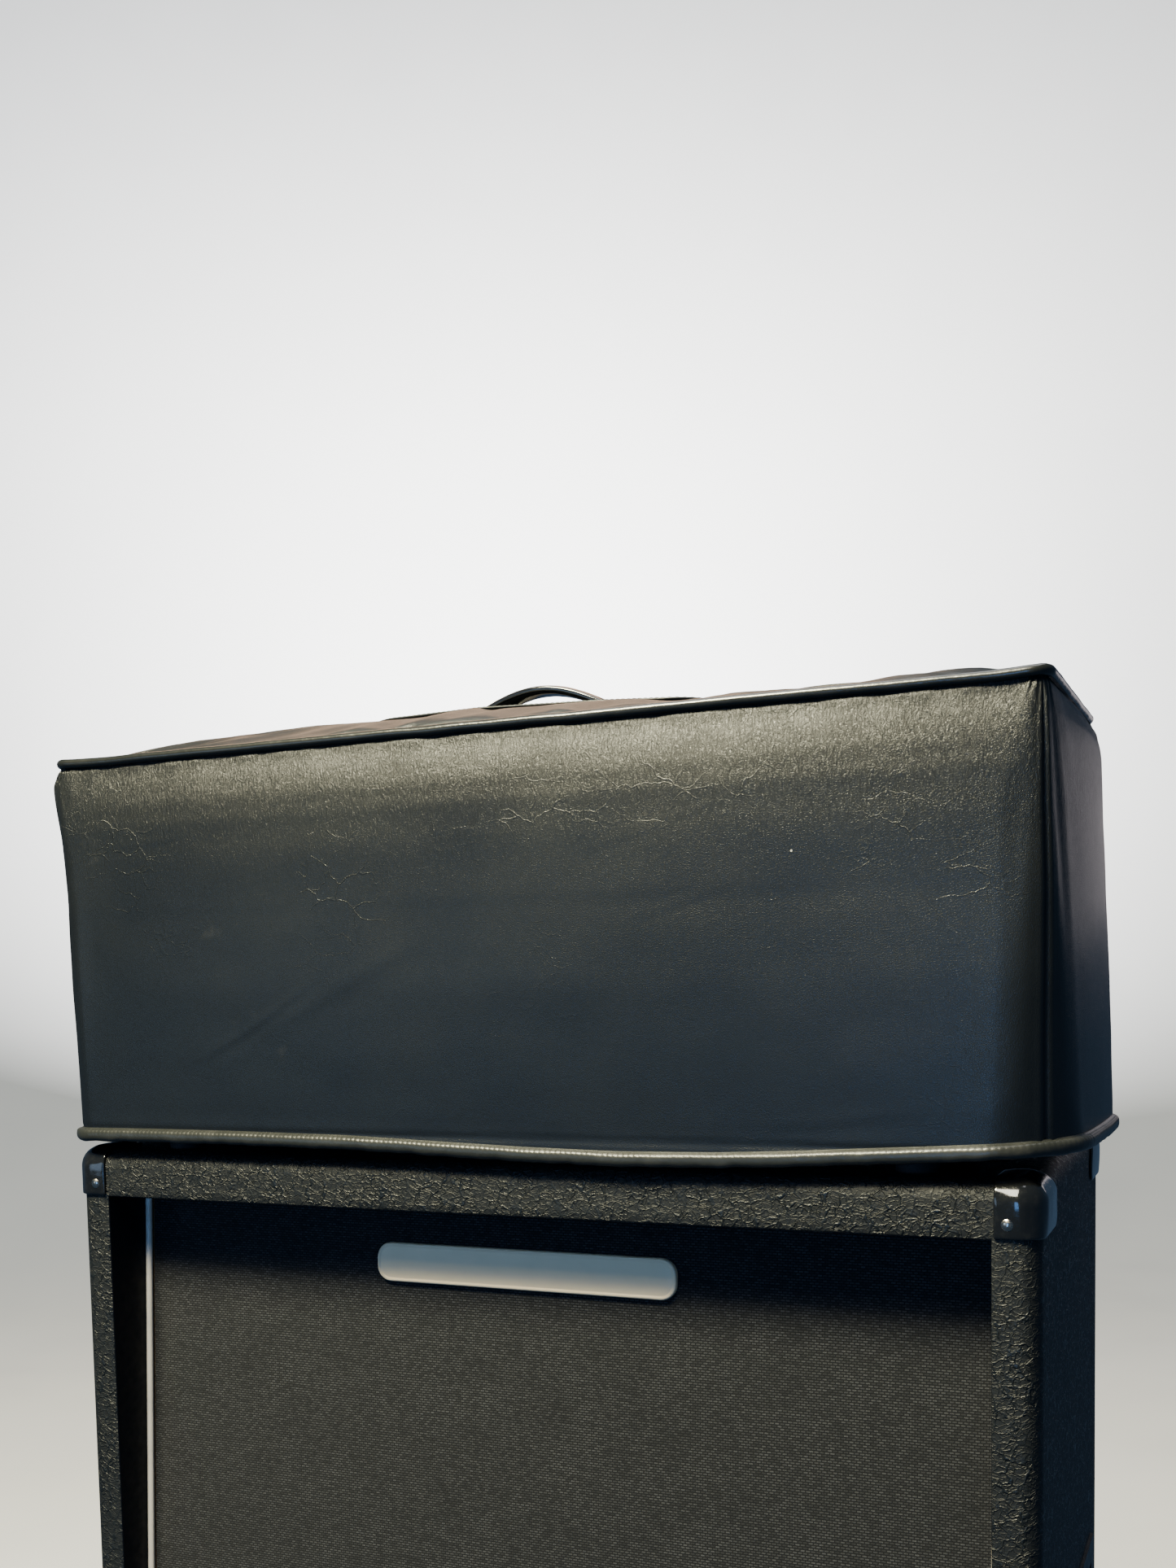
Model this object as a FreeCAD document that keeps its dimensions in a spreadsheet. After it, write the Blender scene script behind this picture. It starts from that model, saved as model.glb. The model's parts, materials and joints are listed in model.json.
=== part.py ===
"""Guitar amplifier: a valve head in a dust cover, standing on a four-speaker cabinet.

Millimetres. X runs to the right seen from the front, Y runs back, Z runs up.
The origin is on the floor, under the middle of the amplifier.
"""
import FreeCAD, Part
import os
import re

import Sketcher
from FreeCAD import Placement, Rotation, Vector

SIZES = {
    # cabinet
    "cab_width": 768, "cab_depth": 356, "cab_height": 756, "cab_board": 18, "cab_edge": 14,
    "frame_side": 12.6, "frame_rail": 20, "frame_depth": 90, "cleat": 18,
    "back_recess": 6, "back_board": 12, "foot_height": 12, "foot_radius": 20, "foot_inset": 64,
    "guard_across": 29, "guard_deep": 66, "guard_tall": 37, "guard_wall": 2.6, "guard_nose": 28,
    "guard_heel": 10, "rivet_radius": 6, "rivet_inset": 20, "rivet_drop": 27,
    "screw_radius": 5, "screw_inset": 10, "screw_margin": 40,
    "handle_height": 380, "handle_back": 30, "cup_length": 170, "cup_height": 88, "cup_depth": 50,
    "cup_wall": 2.5, "flange_lip": 15,
    # baffle, cloth and speakers
    "recess_low": 32, "baffle_break": 385, "baffle_tilt": 2.8, "baffle_board": 18, "cloth": 1.5,
    "piping": 5.5, "brace_width": 30, "brace_height": 40, "badge_length": 250, "badge_height": 30,
    "badge_rise": 297, "speaker_pitch": 352, "cut_out": 141, "basket_radius": 154.5,
    "magnet_radius": 78, "coil_radius": 25.2,
    "jack_bore": 3.2, "jack_bush": 5.5, "jack_body": 8.5, "jack_depth": 26, "jack_height": 560,
    "jack_spread": 25, "jack_nut": 8, "plate_half": 60, "plate_rise": 30, "plate_wall": 1.6,
    # head
    "head_width": 740, "head_depth": 210, "head_height": 294, "head_board": 15, "head_edge": 12,
    "head_foot": 12, "head_foot_radius": 16, "head_foot_inset": 70, "head_set_back": 2,
    "head_guard": 36.4, "head_guard_wall": 1.6, "head_guard_nose": 20,
    "front_recess": 10, "front_board": 12, "head_piping": 5,
    "vent_foot": 30, "vent_pitch": 64, "vent_half": 24, "vent_rise": 18, "vent_gap": 7,
    "strap_width": 24, "strap_bend": 143, "strap_thick": 7, "strap_top": 1125, "strap_half": 96,
    "cap_length": 34, "cap_width": 30, "cap_height": 18, "cap_edge": 10,
    # chassis and what it carries
    "panel_recess": 32, "panel_plate": 1.5, "chassis_height": 78, "chassis_wall": 2, "chassis_half": 350,
    "knob_radius": 11.5, "knob_cap": 15, "knob_skirt": 3.5, "knob_stem": 17, "nose_set_back": 8,
    "knob_pitch": 62, "knob_first": -225, "shaft_radius": 3, "fit_gap": 0.06,
    "pot_bush": 4.9, "pot_nut": 7, "pot_case": 12, "pot_case_depth": 10,
    "lamp_stem": 6, "lamp_bezel": 8, "lamp_jewel": 8.4, "selector_radius": 11, "selector_depth": 7,
    "rocker_tilt": 8, "rocker_half": 11.5, "rocker_width": 17.2, "switch_half": 11, "switch_rise": 15.5,
    "switch_rim": 2, "switch_depth": 22, "switch_wall": 2, "pivot_radius": 1.5, "pivot_set_back": 4,
    "board_half": 170, "board_front": 80, "board_rear": 165, "board_sheet": 1.6, "board_clearance": 52,
    "mains_half": 55, "mains_deep": 42, "mains_tall": 88,
    "output_half": 44, "output_deep": 34, "output_tall": 70,
    "can_radius": 17.5, "can_tall": 80, "can_spread": 38,
    "inlet_half": 14, "inlet_rise": 10, "inlet_depth": 24, "inlet_flange": 2.5, "inlet_rim": 4,
    "inlet_wall": 2, "inlet_bay": 98,
    # dust cover
    "cover_half": 388, "cover_front": 6, "cover_back": 44, "cover_wall": 3, "cover_top": 1081,
    "hem_foot": 774, "hem_height": 16, "hem_proud": 1.5, "crown": 23, "slot_half": 135,
    "slot_depth": 50, "ridge_margin": 15, "welt": 5,
}

# Places worked out from the driving sizes, as sheet expressions.
FRONT = "(-cab_depth / 2)"
REAR = "(cab_depth / 2)"
CAB_SIDE = "(cab_width / 2)"
CAB_TOP = "(foot_height + cab_height)"
WELL_SIDE = "(cab_width / 2 - cab_board)"
WELL_TOP = "(foot_height + cab_height - cab_board)"
WELL_FOOT = "(foot_height + cab_board)"
OPEN_SIDE = "(cab_width / 2 - cab_board - frame_side)"
OPEN_TOP = "(foot_height + cab_height - cab_board - frame_rail)"
OPEN_FOOT = "(foot_height + cab_board + frame_rail)"
BACK_FACE = "(cab_depth / 2 - back_recess)"
BACK_INSIDE = "(cab_depth / 2 - back_recess - back_board)"
BAFFLE_FACE = "(-cab_depth / 2 + recess_low + cloth)"
BAFFLE_REAR = "(-cab_depth / 2 + recess_low + cloth + baffle_board)"
HEAD_FRONT = "(-cab_depth / 2 + head_set_back)"
HEAD_REAR = "(-cab_depth / 2 + head_set_back + head_depth)"
HEAD_SIDE = "(head_width / 2)"
HEAD_BASE = "(foot_height + cab_height + head_foot)"
HEAD_TOP = "(foot_height + cab_height + head_foot + head_height)"
HEAD_FLOOR = "(foot_height + cab_height + head_foot + head_board)"
HEAD_CEILING = "(foot_height + cab_height + head_foot + head_height - head_board)"
HEAD_INSIDE = "(head_width / 2 - head_board)"
HEAD_MIDDLE = "(-cab_depth / 2 + head_set_back + head_depth / 2)"
DECK = f"({HEAD_FLOOR} + chassis_height)"
PANEL_FACE = f"({HEAD_FRONT} + panel_recess)"
TRAY_FACE = f"({HEAD_FRONT} + panel_recess + panel_plate)"
TRAY_REAR = f"({HEAD_REAR} - 12)"
KNOB_HEIGHT = f"({HEAD_FLOOR} + 42)"
COVER_FACE = "(-cab_depth / 2 - cover_front)"

RIGHT = Vector(1, 0, 0)
FORWARD = Rotation(RIGHT, 90)        # turns +Z to face the front, -Y
BACKWARD = Rotation(RIGHT, -90)      # turns +Z to face the back, +Y
UPRIGHT = Rotation()
LENGTHWAYS = Rotation(Vector(0, 1, 0), 90)
SNUG = 1e-3                          # how near counts as the same place

doc = FreeCAD.newDocument("GuitarAmplifier")
sheet = doc.addObject("Spreadsheet::Sheet", "Sizes")
for row, (alias, number) in enumerate(SIZES.items(), start=1):
    sheet.set(f"A{row}", alias)
    sheet.set(f"B{row}", str(number))
    sheet.setAlias(f"B{row}", alias)
doc.recompute()

nodes = []


# ---------------------------------------------------------------- helpers
def words(text):
    """Point each alias in an expression at the sheet."""
    return re.sub(r"[a-z]\w+", lambda hit: "Sizes." * (hit.group(0) in SIZES) + hit.group(0), str(text))


def value(text):
    """What an expression comes to now, for a sketch's first guess or a shape made in code."""
    return float(sheet.evalExpression(words(text)))


def place(piece, at, turn=UPRIGHT):
    """Put a piece's own origin at three expressions."""
    piece.Placement = Placement(Vector(*[value(text) for text in at]), turn)
    for axis, text in zip("xyz", at):
        piece.setExpression(f"Placement.Base.{axis}", words(text))


def node(label, piece):
    """Name a finished sub-part and keep it for the hand-over."""
    piece.Label = label
    nodes.append(piece)
    return piece


def block(name, xs, ys, zs):
    """A box between two expressions on each axis."""
    piece = doc.addObject("Part::Box", name)
    for size, (low, high) in zip(("Length", "Width", "Height"), (xs, ys, zs)):
        piece.setExpression(size, words(f"({high}) - ({low})"))
    place(piece, (xs[0], ys[0], zs[0]))
    return piece


def rod(name, radius, length, at, turn=UPRIGHT):
    """A cylinder whose axis is its own +Z, starting at a point."""
    piece = doc.addObject("Part::Cylinder", name)
    piece.setExpression("Radius", words(radius))
    piece.setExpression("Height", words(length))
    place(piece, at, turn)
    return piece


def taper(name, low_radius, high_radius, length, at, turn=UPRIGHT):
    """A cone's frustum along its own +Z."""
    piece = doc.addObject("Part::Cone", name)
    piece.setExpression("Radius1", words(low_radius))
    piece.setExpression("Radius2", words(high_radius))
    piece.setExpression("Height", words(length))
    place(piece, at, turn)
    return piece


def dome(name, radius, at, turn):
    """The cap of a ball above 45 degrees of latitude, with its flat face at a point."""
    piece = doc.addObject("Part::Sphere", name)
    piece.Angle1 = 45
    piece.setExpression("Radius", words(radius))
    sink = turn.multVec(Vector(0, 0, -1))
    centre = [f"{text} + ({part:.0f}) * ({radius}) * sin(45)" for text, part in zip(at, sink)]
    place(piece, centre, turn)
    return piece


def group(name, pieces):
    piece = doc.addObject("Part::Compound", name)
    piece.Links = list(pieces)
    return piece


def cut(name, base, tools):
    piece = doc.addObject("Part::Cut", name)
    piece.Base = base
    piece.Tool = group(f"{name}_tools", tools) if isinstance(tools, list) else tools
    return piece


def fuse(name, pieces):
    piece = doc.addObject("Part::MultiFuse", name)
    piece.Shapes = list(pieces)
    piece.Refine = True
    return piece


def common(name, base, tool):
    piece = doc.addObject("Part::Common", name)
    piece.Base = base
    piece.Tool = tool
    return piece


def rounded(name, base, radius, chosen=lambda edge: True):
    """Round the edges of a piece that a test picks."""
    doc.recompute()
    piece = doc.addObject("Part::Fillet", name)
    piece.Base = base
    size = value(radius)
    edges = enumerate(base.Shape.Edges, start=1)
    piece.Edges = [(number, size, size) for number, edge in edges if chosen(edge)]
    return piece


def mirror(name, source, normal):
    piece = doc.addObject("Part::Mirroring", name)
    piece.Source = source
    piece.Normal = normal
    return piece


def both_sides(name, source):
    """A piece and its mirror image across the middle plane."""
    return [source, mirror(f"{name}_left", source, RIGHT)]


def ring(name, outer, inner, zs):
    """An upright rectangular ring from outer and inner (xs, ys) ranges."""
    outside = block(f"{name}_outside", *outer, zs)
    inside = block(f"{name}_inside", *inner, (f"{zs[0]} - 1", f"{zs[1]} + 1"))
    return cut(name, outside, inside)


def runs_along(axis):
    """A test for straight edges that lie along one axis."""
    def test(edge):
        if edge.Curve.TypeId != "Part::GeomLine":
            return False
        return abs(edge.tangentAt(edge.FirstParameter).dot(axis)) > 0.99
    return test


def new_sketch(body, name, role):
    """A sketch on one of the body's own origin planes."""
    sketch = body.newObject("Sketcher::SketchObject", name)
    plane = next(item for item in body.Origin.OriginFeatures if item.Role == role)
    sketch.AttachmentSupport = [(plane, "")]
    sketch.MapMode = "FlatFace"
    return sketch


def drive(sketch, kind, text, *where):
    """A dimension that follows a sheet expression."""
    index = sketch.addConstraint(Sketcher.Constraint(kind, *where, value(text)))
    sketch.setExpression(f"Constraints[{index}]", words(text))


def pin_point(sketch, curve, point, across, up):
    """Tie a sketch point to two expressions measured from the sketch's origin."""
    for kind, text, axis in (("DistanceX", across, -2), ("DistanceY", up, -1)):
        if abs(value(text)) < 1e-9:
            sketch.addConstraint(Sketcher.Constraint("PointOnObject", curve, point, axis))
        else:
            drive(sketch, kind, text, -1, 1, curve, point)


def outline(sketch, points):
    """A closed outline of straight lines whose corners follow the sheet."""
    corners = [Vector(value(across), value(up), 0) for across, up in points]
    first = sketch.GeometryCount
    count = len(corners)
    for number, corner in enumerate(corners):
        sketch.addGeometry(Part.LineSegment(corner, corners[(number + 1) % count]), False)
    for number, (across, up) in enumerate(points):
        after = first + (number + 1) % count
        sketch.addConstraint(Sketcher.Constraint("Coincident", first + number, 2, after, 1))
        pin_point(sketch, first + number, 1, across, up)


def circle(sketch, radius, across, up):
    """A circle whose centre and radius follow the sheet."""
    centre = Vector(value(across), value(up), 0)
    number = sketch.addGeometry(Part.Circle(centre, Vector(0, 0, 1), value(radius)), False)
    pin_point(sketch, number, 3, across, up)
    drive(sketch, "Radius", radius, number)


def pad(body, name, sketch, length, reverse=False):
    feature = body.newObject("PartDesign::Pad", name)
    feature.Profile = sketch
    feature.setExpression("Length", words(length))
    feature.Reversed = reverse
    return feature


def spun(name, points):
    """A body of revolution about its own Z, from (radius, height) points."""
    body = doc.addObject("PartDesign::Body", name)
    sketch = new_sketch(body, f"{name}_section", "XZ_Plane")
    outline(sketch, points)
    feature = body.newObject("PartDesign::Revolution", f"{name}_turned")
    feature.Profile = sketch
    feature.ReferenceAxis = (sketch, ["V_Axis"])
    feature.Angle = 360
    return body


# ---------------------------------------------------------------- cabinet
def make_cabinet_shell():
    """Five-sided box: rounded outside, with battens that hold the baffle and the back."""
    solid = block("cab_block", (f"-{CAB_SIDE}", CAB_SIDE), (FRONT, REAR), ("foot_height", CAB_TOP))
    envelope = rounded("cab_envelope", solid, "cab_edge")
    wide = (f"-{CAB_SIDE} - 1", f"{CAB_SIDE} + 1")
    deep = (f"{FRONT} - 1", f"{REAR} + 1")
    roof = block("cab_roof_zone", wide, deep, (WELL_TOP, f"{CAB_TOP} + 1"))
    floor = block("cab_floor_zone", wide, deep, ("foot_height - 1", WELL_FOOT))
    node("cab_top_board", common("cab_roof", envelope, roof))
    node("cab_bottom_board", common("cab_floor", envelope, floor))

    flank = block("cab_flank_zone", (WELL_SIDE, f"{CAB_SIDE} + 1"), deep, (WELL_FOOT, WELL_TOP))
    cup_hole = block(
        "cup_hole", (f"{WELL_SIDE} - 1", f"{CAB_SIDE} + 1"),
        ("handle_back - cup_length / 2", "handle_back + cup_length / 2"),
        ("handle_height - cup_height / 2", "handle_height + cup_height / 2"))
    right_side = cut("cab_flank_cut", common("cab_flank", envelope, flank), cup_hole)
    node("cab_side_boards", group("cab_flanks", both_sides("cab_flank", right_side)))

    pieces = []
    spans = (
        ("front", FRONT, f"{FRONT} + frame_depth", "frame_side", "frame_rail"),
        ("rear", f"{BACK_INSIDE} - cleat", BACK_INSIDE, "cleat", "cleat"),
    )
    for name, near, far, post, rail in spans:
        post_zone = (f"{WELL_SIDE} - {post}", WELL_SIDE)
        rail_zone = (f"-{WELL_SIDE}", WELL_SIDE)
        upright = block(f"{name}_post", post_zone, (near, far),
                        (f"{WELL_FOOT} + {rail}", f"{WELL_TOP} - {rail}"))
        pieces += both_sides(f"{name}_post", upright)
        pieces.append(block(f"{name}_head_rail", rail_zone, (near, far),
                            (f"{WELL_TOP} - {rail}", WELL_TOP)))
        pieces.append(block(f"{name}_foot_rail", rail_zone, (near, far),
                            (WELL_FOOT, f"{WELL_FOOT} + {rail}")))
    node("frame_battens", group("batten_group", pieces))
    return envelope


def make_baffle():
    """Two boards: the lower one upright, the upper one leaning back from a break."""
    boards = []
    halves = (
        ("lower", OPEN_FOOT + " - baffle_break", "0", "0"),
        ("upper", "1", f"({OPEN_TOP} - baffle_break) / cos(baffle_tilt) - 1", "-baffle_tilt"),
    )
    for name, low, high, lean in halves:
        body = doc.addObject("PartDesign::Body", f"baffle_{name}")
        sketch = new_sketch(body, f"baffle_{name}_face", "XZ_Plane")
        side = f"({OPEN_SIDE} - 0.5)"
        outline(sketch, [(f"-{side}", low), (side, low), (side, high), (f"-{side}", high)])
        middle = f"(({low}) + ({high})) / 2"
        circle(sketch, "cut_out", "speaker_pitch / 2", middle)
        circle(sketch, "cut_out", "-speaker_pitch / 2", middle)
        pad(body, f"baffle_{name}_board", sketch, "baffle_board", reverse=True)
        place(body, ("0", BAFFLE_FACE, "baffle_break"), Rotation(RIGHT, value(lean)))
        boards.append(body)
    node("baffle_boards", group("baffle_group", boards))

    brace = block("brace", ("-brace_width / 2", "brace_width / 2"), (BAFFLE_REAR, BACK_INSIDE),
                  ("baffle_break - brace_height", "baffle_break"))
    node("centre_brace", brace)


def bent_strip(name, xs, low, high, front_gap, rear_gap):
    """A strip that follows the baffle's face round its break, between two depths."""
    def depth(gap, height):
        lean = f"max(0; ({height}) - baffle_break) * tan(baffle_tilt)"
        return f"{BAFFLE_FACE} - ({gap}) + {lean}"
    body = doc.addObject("PartDesign::Body", name)
    sketch = new_sketch(body, f"{name}_section", "YZ_Plane")
    heights = (low, "baffle_break", high)
    front = [(depth(front_gap, height), height) for height in heights]
    back = [(depth(rear_gap, height), height) for height in reversed(heights)]
    outline(sketch, front + back)
    pad(body, f"{name}_run", sketch, f"({xs[1]}) - ({xs[0]})")
    place(body, (xs[0], "0", "0"))
    return body


def make_grille():
    """Cloth over both baffle boards, round piping at its edge and a blank badge."""
    low = f"{OPEN_FOOT} + piping + 0.3"
    high = f"{OPEN_TOP} - piping - 0.3"
    edge = f"({OPEN_SIDE} - piping - 0.1)"
    node("grille_cloth", bent_strip("cloth_run", (f"-{edge}", edge), low, high, "cloth", "0"))

    post = bent_strip("piping_post", (f"{OPEN_SIDE} - piping", OPEN_SIDE), low, high, "piping", "0.1")
    lean = f"({OPEN_TOP} - piping - baffle_break) * tan(baffle_tilt)"
    wide = (f"-{OPEN_SIDE}", OPEN_SIDE)
    head = block("piping_head", wide, (f"{BAFFLE_FACE} + {lean} - piping - 0.1",
                                       f"{BAFFLE_FACE} + {lean} - 0.1"),
                 (f"{OPEN_TOP} - piping", OPEN_TOP))
    foot = block("piping_foot", wide, (f"{BAFFLE_FACE} - piping - 0.1", f"{BAFFLE_FACE} - 0.1"),
                 (OPEN_FOOT, f"{OPEN_FOOT} + piping"))
    node("grille_piping", group("piping_group", both_sides("piping_post", post) + [head, foot]))

    body = doc.addObject("PartDesign::Body", "badge_body")
    sketch = new_sketch(body, "badge_face", "XZ_Plane")
    half, tall = "badge_length / 2", "badge_height / 2"
    outline(sketch, [(f"-{half}", f"-{tall}"), (half, f"-{tall}"), (half, tall), (f"-{half}", tall)])
    plate = pad(body, "badge_plate", sketch, "4")
    doc.recompute()
    ends = runs_along(Vector(0, 1, 0))
    round_off = body.newObject("PartDesign::Fillet", "badge_ends")
    names = [f"Edge{number}" for number, edge in enumerate(plate.Shape.Edges, start=1) if ends(edge)]
    round_off.Base = (plate, names)
    round_off.setExpression("Radius", words("badge_height / 2 - 1"))
    place(body, ("0", f"{BAFFLE_FACE} - (cloth + 0.1) + badge_rise * tan(baffle_tilt)",
                 "baffle_break + badge_rise"), Rotation(RIGHT, -value("baffle_tilt")))
    node("blank_badge", body)


def make_cabinet_back():
    """Back board with a steel plate that carries two jack sockets."""
    side = f"({WELL_SIDE} - 1)"
    board = block("back_board_block", (f"-{side}", side), (BACK_INSIDE, BACK_FACE),
                  (f"{WELL_FOOT} + 1", f"{WELL_TOP} - 1"))
    places = (("left", "-jack_spread"), ("right", "jack_spread"))
    holes = [rod(f"back_hole_{side}", "jack_body + 2", "back_board + 2",
                 (across, f"{BACK_INSIDE} - 1", "jack_height"), BACKWARD)
             for side, across in places]
    node("back_panel", cut("back_board_cut", board, holes))

    plate = block("jack_plate_block", ("-plate_half", "plate_half"),
                  (BACK_FACE, f"{BACK_FACE} + plate_wall"),
                  ("jack_height - plate_rise", "jack_height + plate_rise"))
    plate_holes = [rod(f"plate_hole_{side}", "jack_bush + 0.1", "4",
                       (across, f"{BACK_FACE} - 1", "jack_height"), BACKWARD)
                   for side, across in places]
    node("jack_plate", cut("jack_plate_cut", plate, plate_holes))
    jacks = [jack(f"cab_jack_{side}", across, f"{BACK_FACE} + plate_wall", "jack_height", BACKWARD,
                  "plate_wall")
             for side, across in places]
    node("cab_jacks", group("cab_jack_pair", jacks))


def jack(name, across, face, height, turn, plate):
    """A jack socket: nut outside a plate, threaded bush through it, body behind, one bore."""
    out = turn.multVec(Vector(0, 0, 1)).y
    behind = f"{face} - ({out:.0f}) * ({plate} + jack_depth)"
    nut = rod(f"{name}_nut", "jack_nut", "2.5", (across, face, height), turn)
    bush = rod(f"{name}_bush", "jack_bush", f"{plate} + jack_depth + 3.5", (across, behind, height), turn)
    barrel = rod(f"{name}_barrel", "jack_body", "jack_depth", (across, behind, height), turn)
    bore = rod(f"{name}_bore", "jack_bore", f"{plate} + jack_depth + 4",
               (across, f"{behind} + ({out:.0f}) * 2", height), turn)
    return cut(name, fuse(f"{name}_solid", [nut, bush, barrel]), bore)


def corner_guards(name, envelope, corner, size, wall, edge, nose, heel):
    """Eight moulded corners: a shell grown from the box's rounded corner, round-ended along the side."""
    side, front, rear, foot, top = corner
    across, deep, tall = size
    shell = block(f"{name}_shell", (f"-{side} - {wall}", f"{side} + {wall}"),
                  (f"{front} - {wall}", f"{rear} + {wall}"),
                  (f"{foot} - {wall}", f"{top} + {wall}"))
    skin = rounded(f"{name}_skin", shell, f"{edge} + {wall}")
    reach = block(f"{name}_reach", (f"{side} - {across}", f"{side} + {deep}"),
                  (f"{front} - {deep}", f"{front} + {deep}"),
                  (f"{top} - {tall}", f"{top} + {wall}"))
    back_edge = value(f"{front} + {deep}")
    middle = value(f"{top} - {tall} / 2")

    def rear_edge(above):
        def test(item):
            at = item.CenterOfMass
            return runs_along(RIGHT)(item) and abs(at.y - back_edge) < SNUG and (at.z > middle) == above
        return test
    nosed = rounded(f"{name}_nosed", reach, nose, rear_edge(True))
    heeled = rounded(f"{name}_heeled", nosed, heel, rear_edge(False))
    first = cut(f"{name}_first", common(f"{name}_corner", skin, heeled), envelope)
    upper = both_sides(f"{name}_upper", first)
    lower = mirror(f"{name}_lower", group(f"{name}_upper_pair", upper), Vector(0, 0, 1))
    lower.Base = Vector(0, 0, value(f"({foot} + {top}) / 2"))
    fronts = group(f"{name}_fronts", upper + [lower])
    backs = mirror(f"{name}_backs", fronts, Vector(0, 1, 0))
    backs.Base = Vector(0, value(f"({front} + {rear}) / 2"), 0)
    return group(f"{name}_group", [fronts, backs])


def make_cabinet_fittings(envelope):
    """Corner guards, rivets and screws, rubber feet and the recessed carrying cups."""
    node("cab_corners", corner_guards(
        "cab_guard", envelope, (CAB_SIDE, FRONT, REAR, "foot_height", CAB_TOP),
        ("guard_across", "guard_deep", "guard_tall"), "guard_wall", "cab_edge", "guard_nose", "guard_heel"))
    heads = []
    rivet_side = f"({CAB_SIDE} - rivet_inset)"
    for level, height in (("high", f"{CAB_TOP} - rivet_drop"), ("low", "foot_height + rivet_drop")):
        for facing, depth, turn in (("front", f"{FRONT} - guard_wall", FORWARD),
                                    ("rear", f"{REAR} + guard_wall", BACKWARD)):
            head = dome(f"rivet_{level}_{facing}", "rivet_radius", (rivet_side, depth, height), turn)
            heads += both_sides(f"rivet_{level}_{facing}", head)
    for number in range(4):
        height = f"{WELL_FOOT} + screw_margin + {number} * ({WELL_TOP} - {WELL_FOOT} - 2 * screw_margin) / 3"
        head = dome(f"back_screw_{number}", "screw_radius",
                    (f"{WELL_SIDE} - screw_inset", BACK_FACE, height),
                    BACKWARD)
        heads += both_sides(f"back_screw_{number}", head)
    node("cab_screws", group("cab_screw_group", heads))

    feet = []
    for facing, depth in (("front", f"{FRONT} + foot_inset"), ("rear", f"{REAR} - foot_inset")):
        foot = taper(f"cab_foot_{facing}", "foot_radius - 3", "foot_radius", "foot_height",
                     (f"{CAB_SIDE} - foot_inset", depth, "0"))
        feet += both_sides(f"cab_foot_{facing}", foot)
    node("cab_feet", group("cab_foot_group", feet))

    length, height = "(cup_length / 2 - 0.3)", "(cup_height / 2 - 0.3)"

    def zone(name, grow, low, high):
        """A box centred on the carrying cup, grown sideways, between two depths."""
        return block(name, (low, high),
                     (f"handle_back - {length} - ({grow})", f"handle_back + {length} + ({grow})"),
                     (f"handle_height - {height} - ({grow})", f"handle_height + {height} + ({grow})"))
    tray = zone("cup_tray", "0", f"{CAB_SIDE} - cup_depth", f"{CAB_SIDE} + 1")
    lip = zone("cup_lip", "flange_lip", f"{CAB_SIDE} + 0", f"{CAB_SIDE} + cup_wall")
    hollow = zone("cup_hollow", "-cup_wall", f"{CAB_SIDE} - cup_depth + cup_wall",
                  f"{CAB_SIDE} + cup_wall + 1")
    cup = cut("carry_cup", fuse("cup_solid", [tray, lip]), hollow)
    node("side_handles", group("cup_pair", both_sides("carry_cup", cup)))


# ---------------------------------------------------------------- speakers
def make_speakers():
    """Four twelve-inch drivers: basket with magnet, and a cone that moves in it."""
    gap_outer = "coil_radius + 1.6"
    pole = "coil_radius - 0.7"
    basket = [
        ("basket_radius", "0"), ("cut_out", "0"), ("cut_out - 2", "-2.5"), ("62", "-66"),
        (gap_outer, "-66"),
        (gap_outer, "-96"), (pole, "-96"), (pole, "-66"), ("0", "-66"), ("0", "-106"),
        ("magnet_radius", "-106"), ("magnet_radius", "-68"), ("66", "-68"), ("cut_out + 3", "-3"),
        ("basket_radius", "-3"),
    ]
    cone = [
        ("cut_out - 3.5", "2"), ("cut_out - 9", "3"), ("cut_out - 13", "-0.4"), ("38", "-45"),
        ("20", "-38"),
        ("0", "-35"), ("0", "-36"), ("20", "-39"), ("coil_radius", "-47"), ("coil_radius", "-84"),
        ("coil_radius + 0.8", "-84"), ("coil_radius + 0.8", "-49"), ("38", "-46.2"),
        ("cut_out - 12.5", "-1.6"),
        ("cut_out - 9", "2"), ("cut_out - 3.5", "1"),
    ]
    upper = f"({OPEN_TOP} - baffle_break) / cos(baffle_tilt) / 2"
    lower = f"({OPEN_FOOT} - baffle_break) / 2"
    places = (
        ("-speaker_pitch / 2", upper, "baffle_tilt"), ("speaker_pitch / 2", upper, "baffle_tilt"),
        ("-speaker_pitch / 2", lower, "0"), ("speaker_pitch / 2", lower, "0"),
    )
    baskets = []
    for number, (across, along, lean) in enumerate(places, start=1):
        depth = f"{BAFFLE_FACE} + baffle_board * cos({lean}) + ({along}) * sin({lean})"
        height = f"baffle_break + ({along}) * cos({lean}) - baffle_board * sin({lean})"
        turn = Rotation(RIGHT, 90 - value(lean))
        body = spun(f"basket_{number}", basket)
        window = new_sketch(body, f"window_{number}", "XY_Plane")
        circle(window, "19", "106", "0")
        opening = body.newObject("PartDesign::Pocket", f"opening_{number}")
        opening.Profile = window
        opening.Type = "ThroughAll"
        doc.recompute()
        windows = body.newObject("PartDesign::PolarPattern", f"windows_{number}")
        windows.Originals = [opening]
        windows.Axis = (window, ["N_Axis"])
        windows.Angle = 360
        windows.Occurrences = 8
        body.Tip = windows
        place(body, (across, depth, height), turn)
        baskets.append(body)
        paper = spun(f"cone_{number}", cone)
        place(paper, (across, depth, height), turn)
        node(f"speaker_cone_{number}", paper)
    node("speaker_frames", group("speaker_frame_group", baskets))


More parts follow.
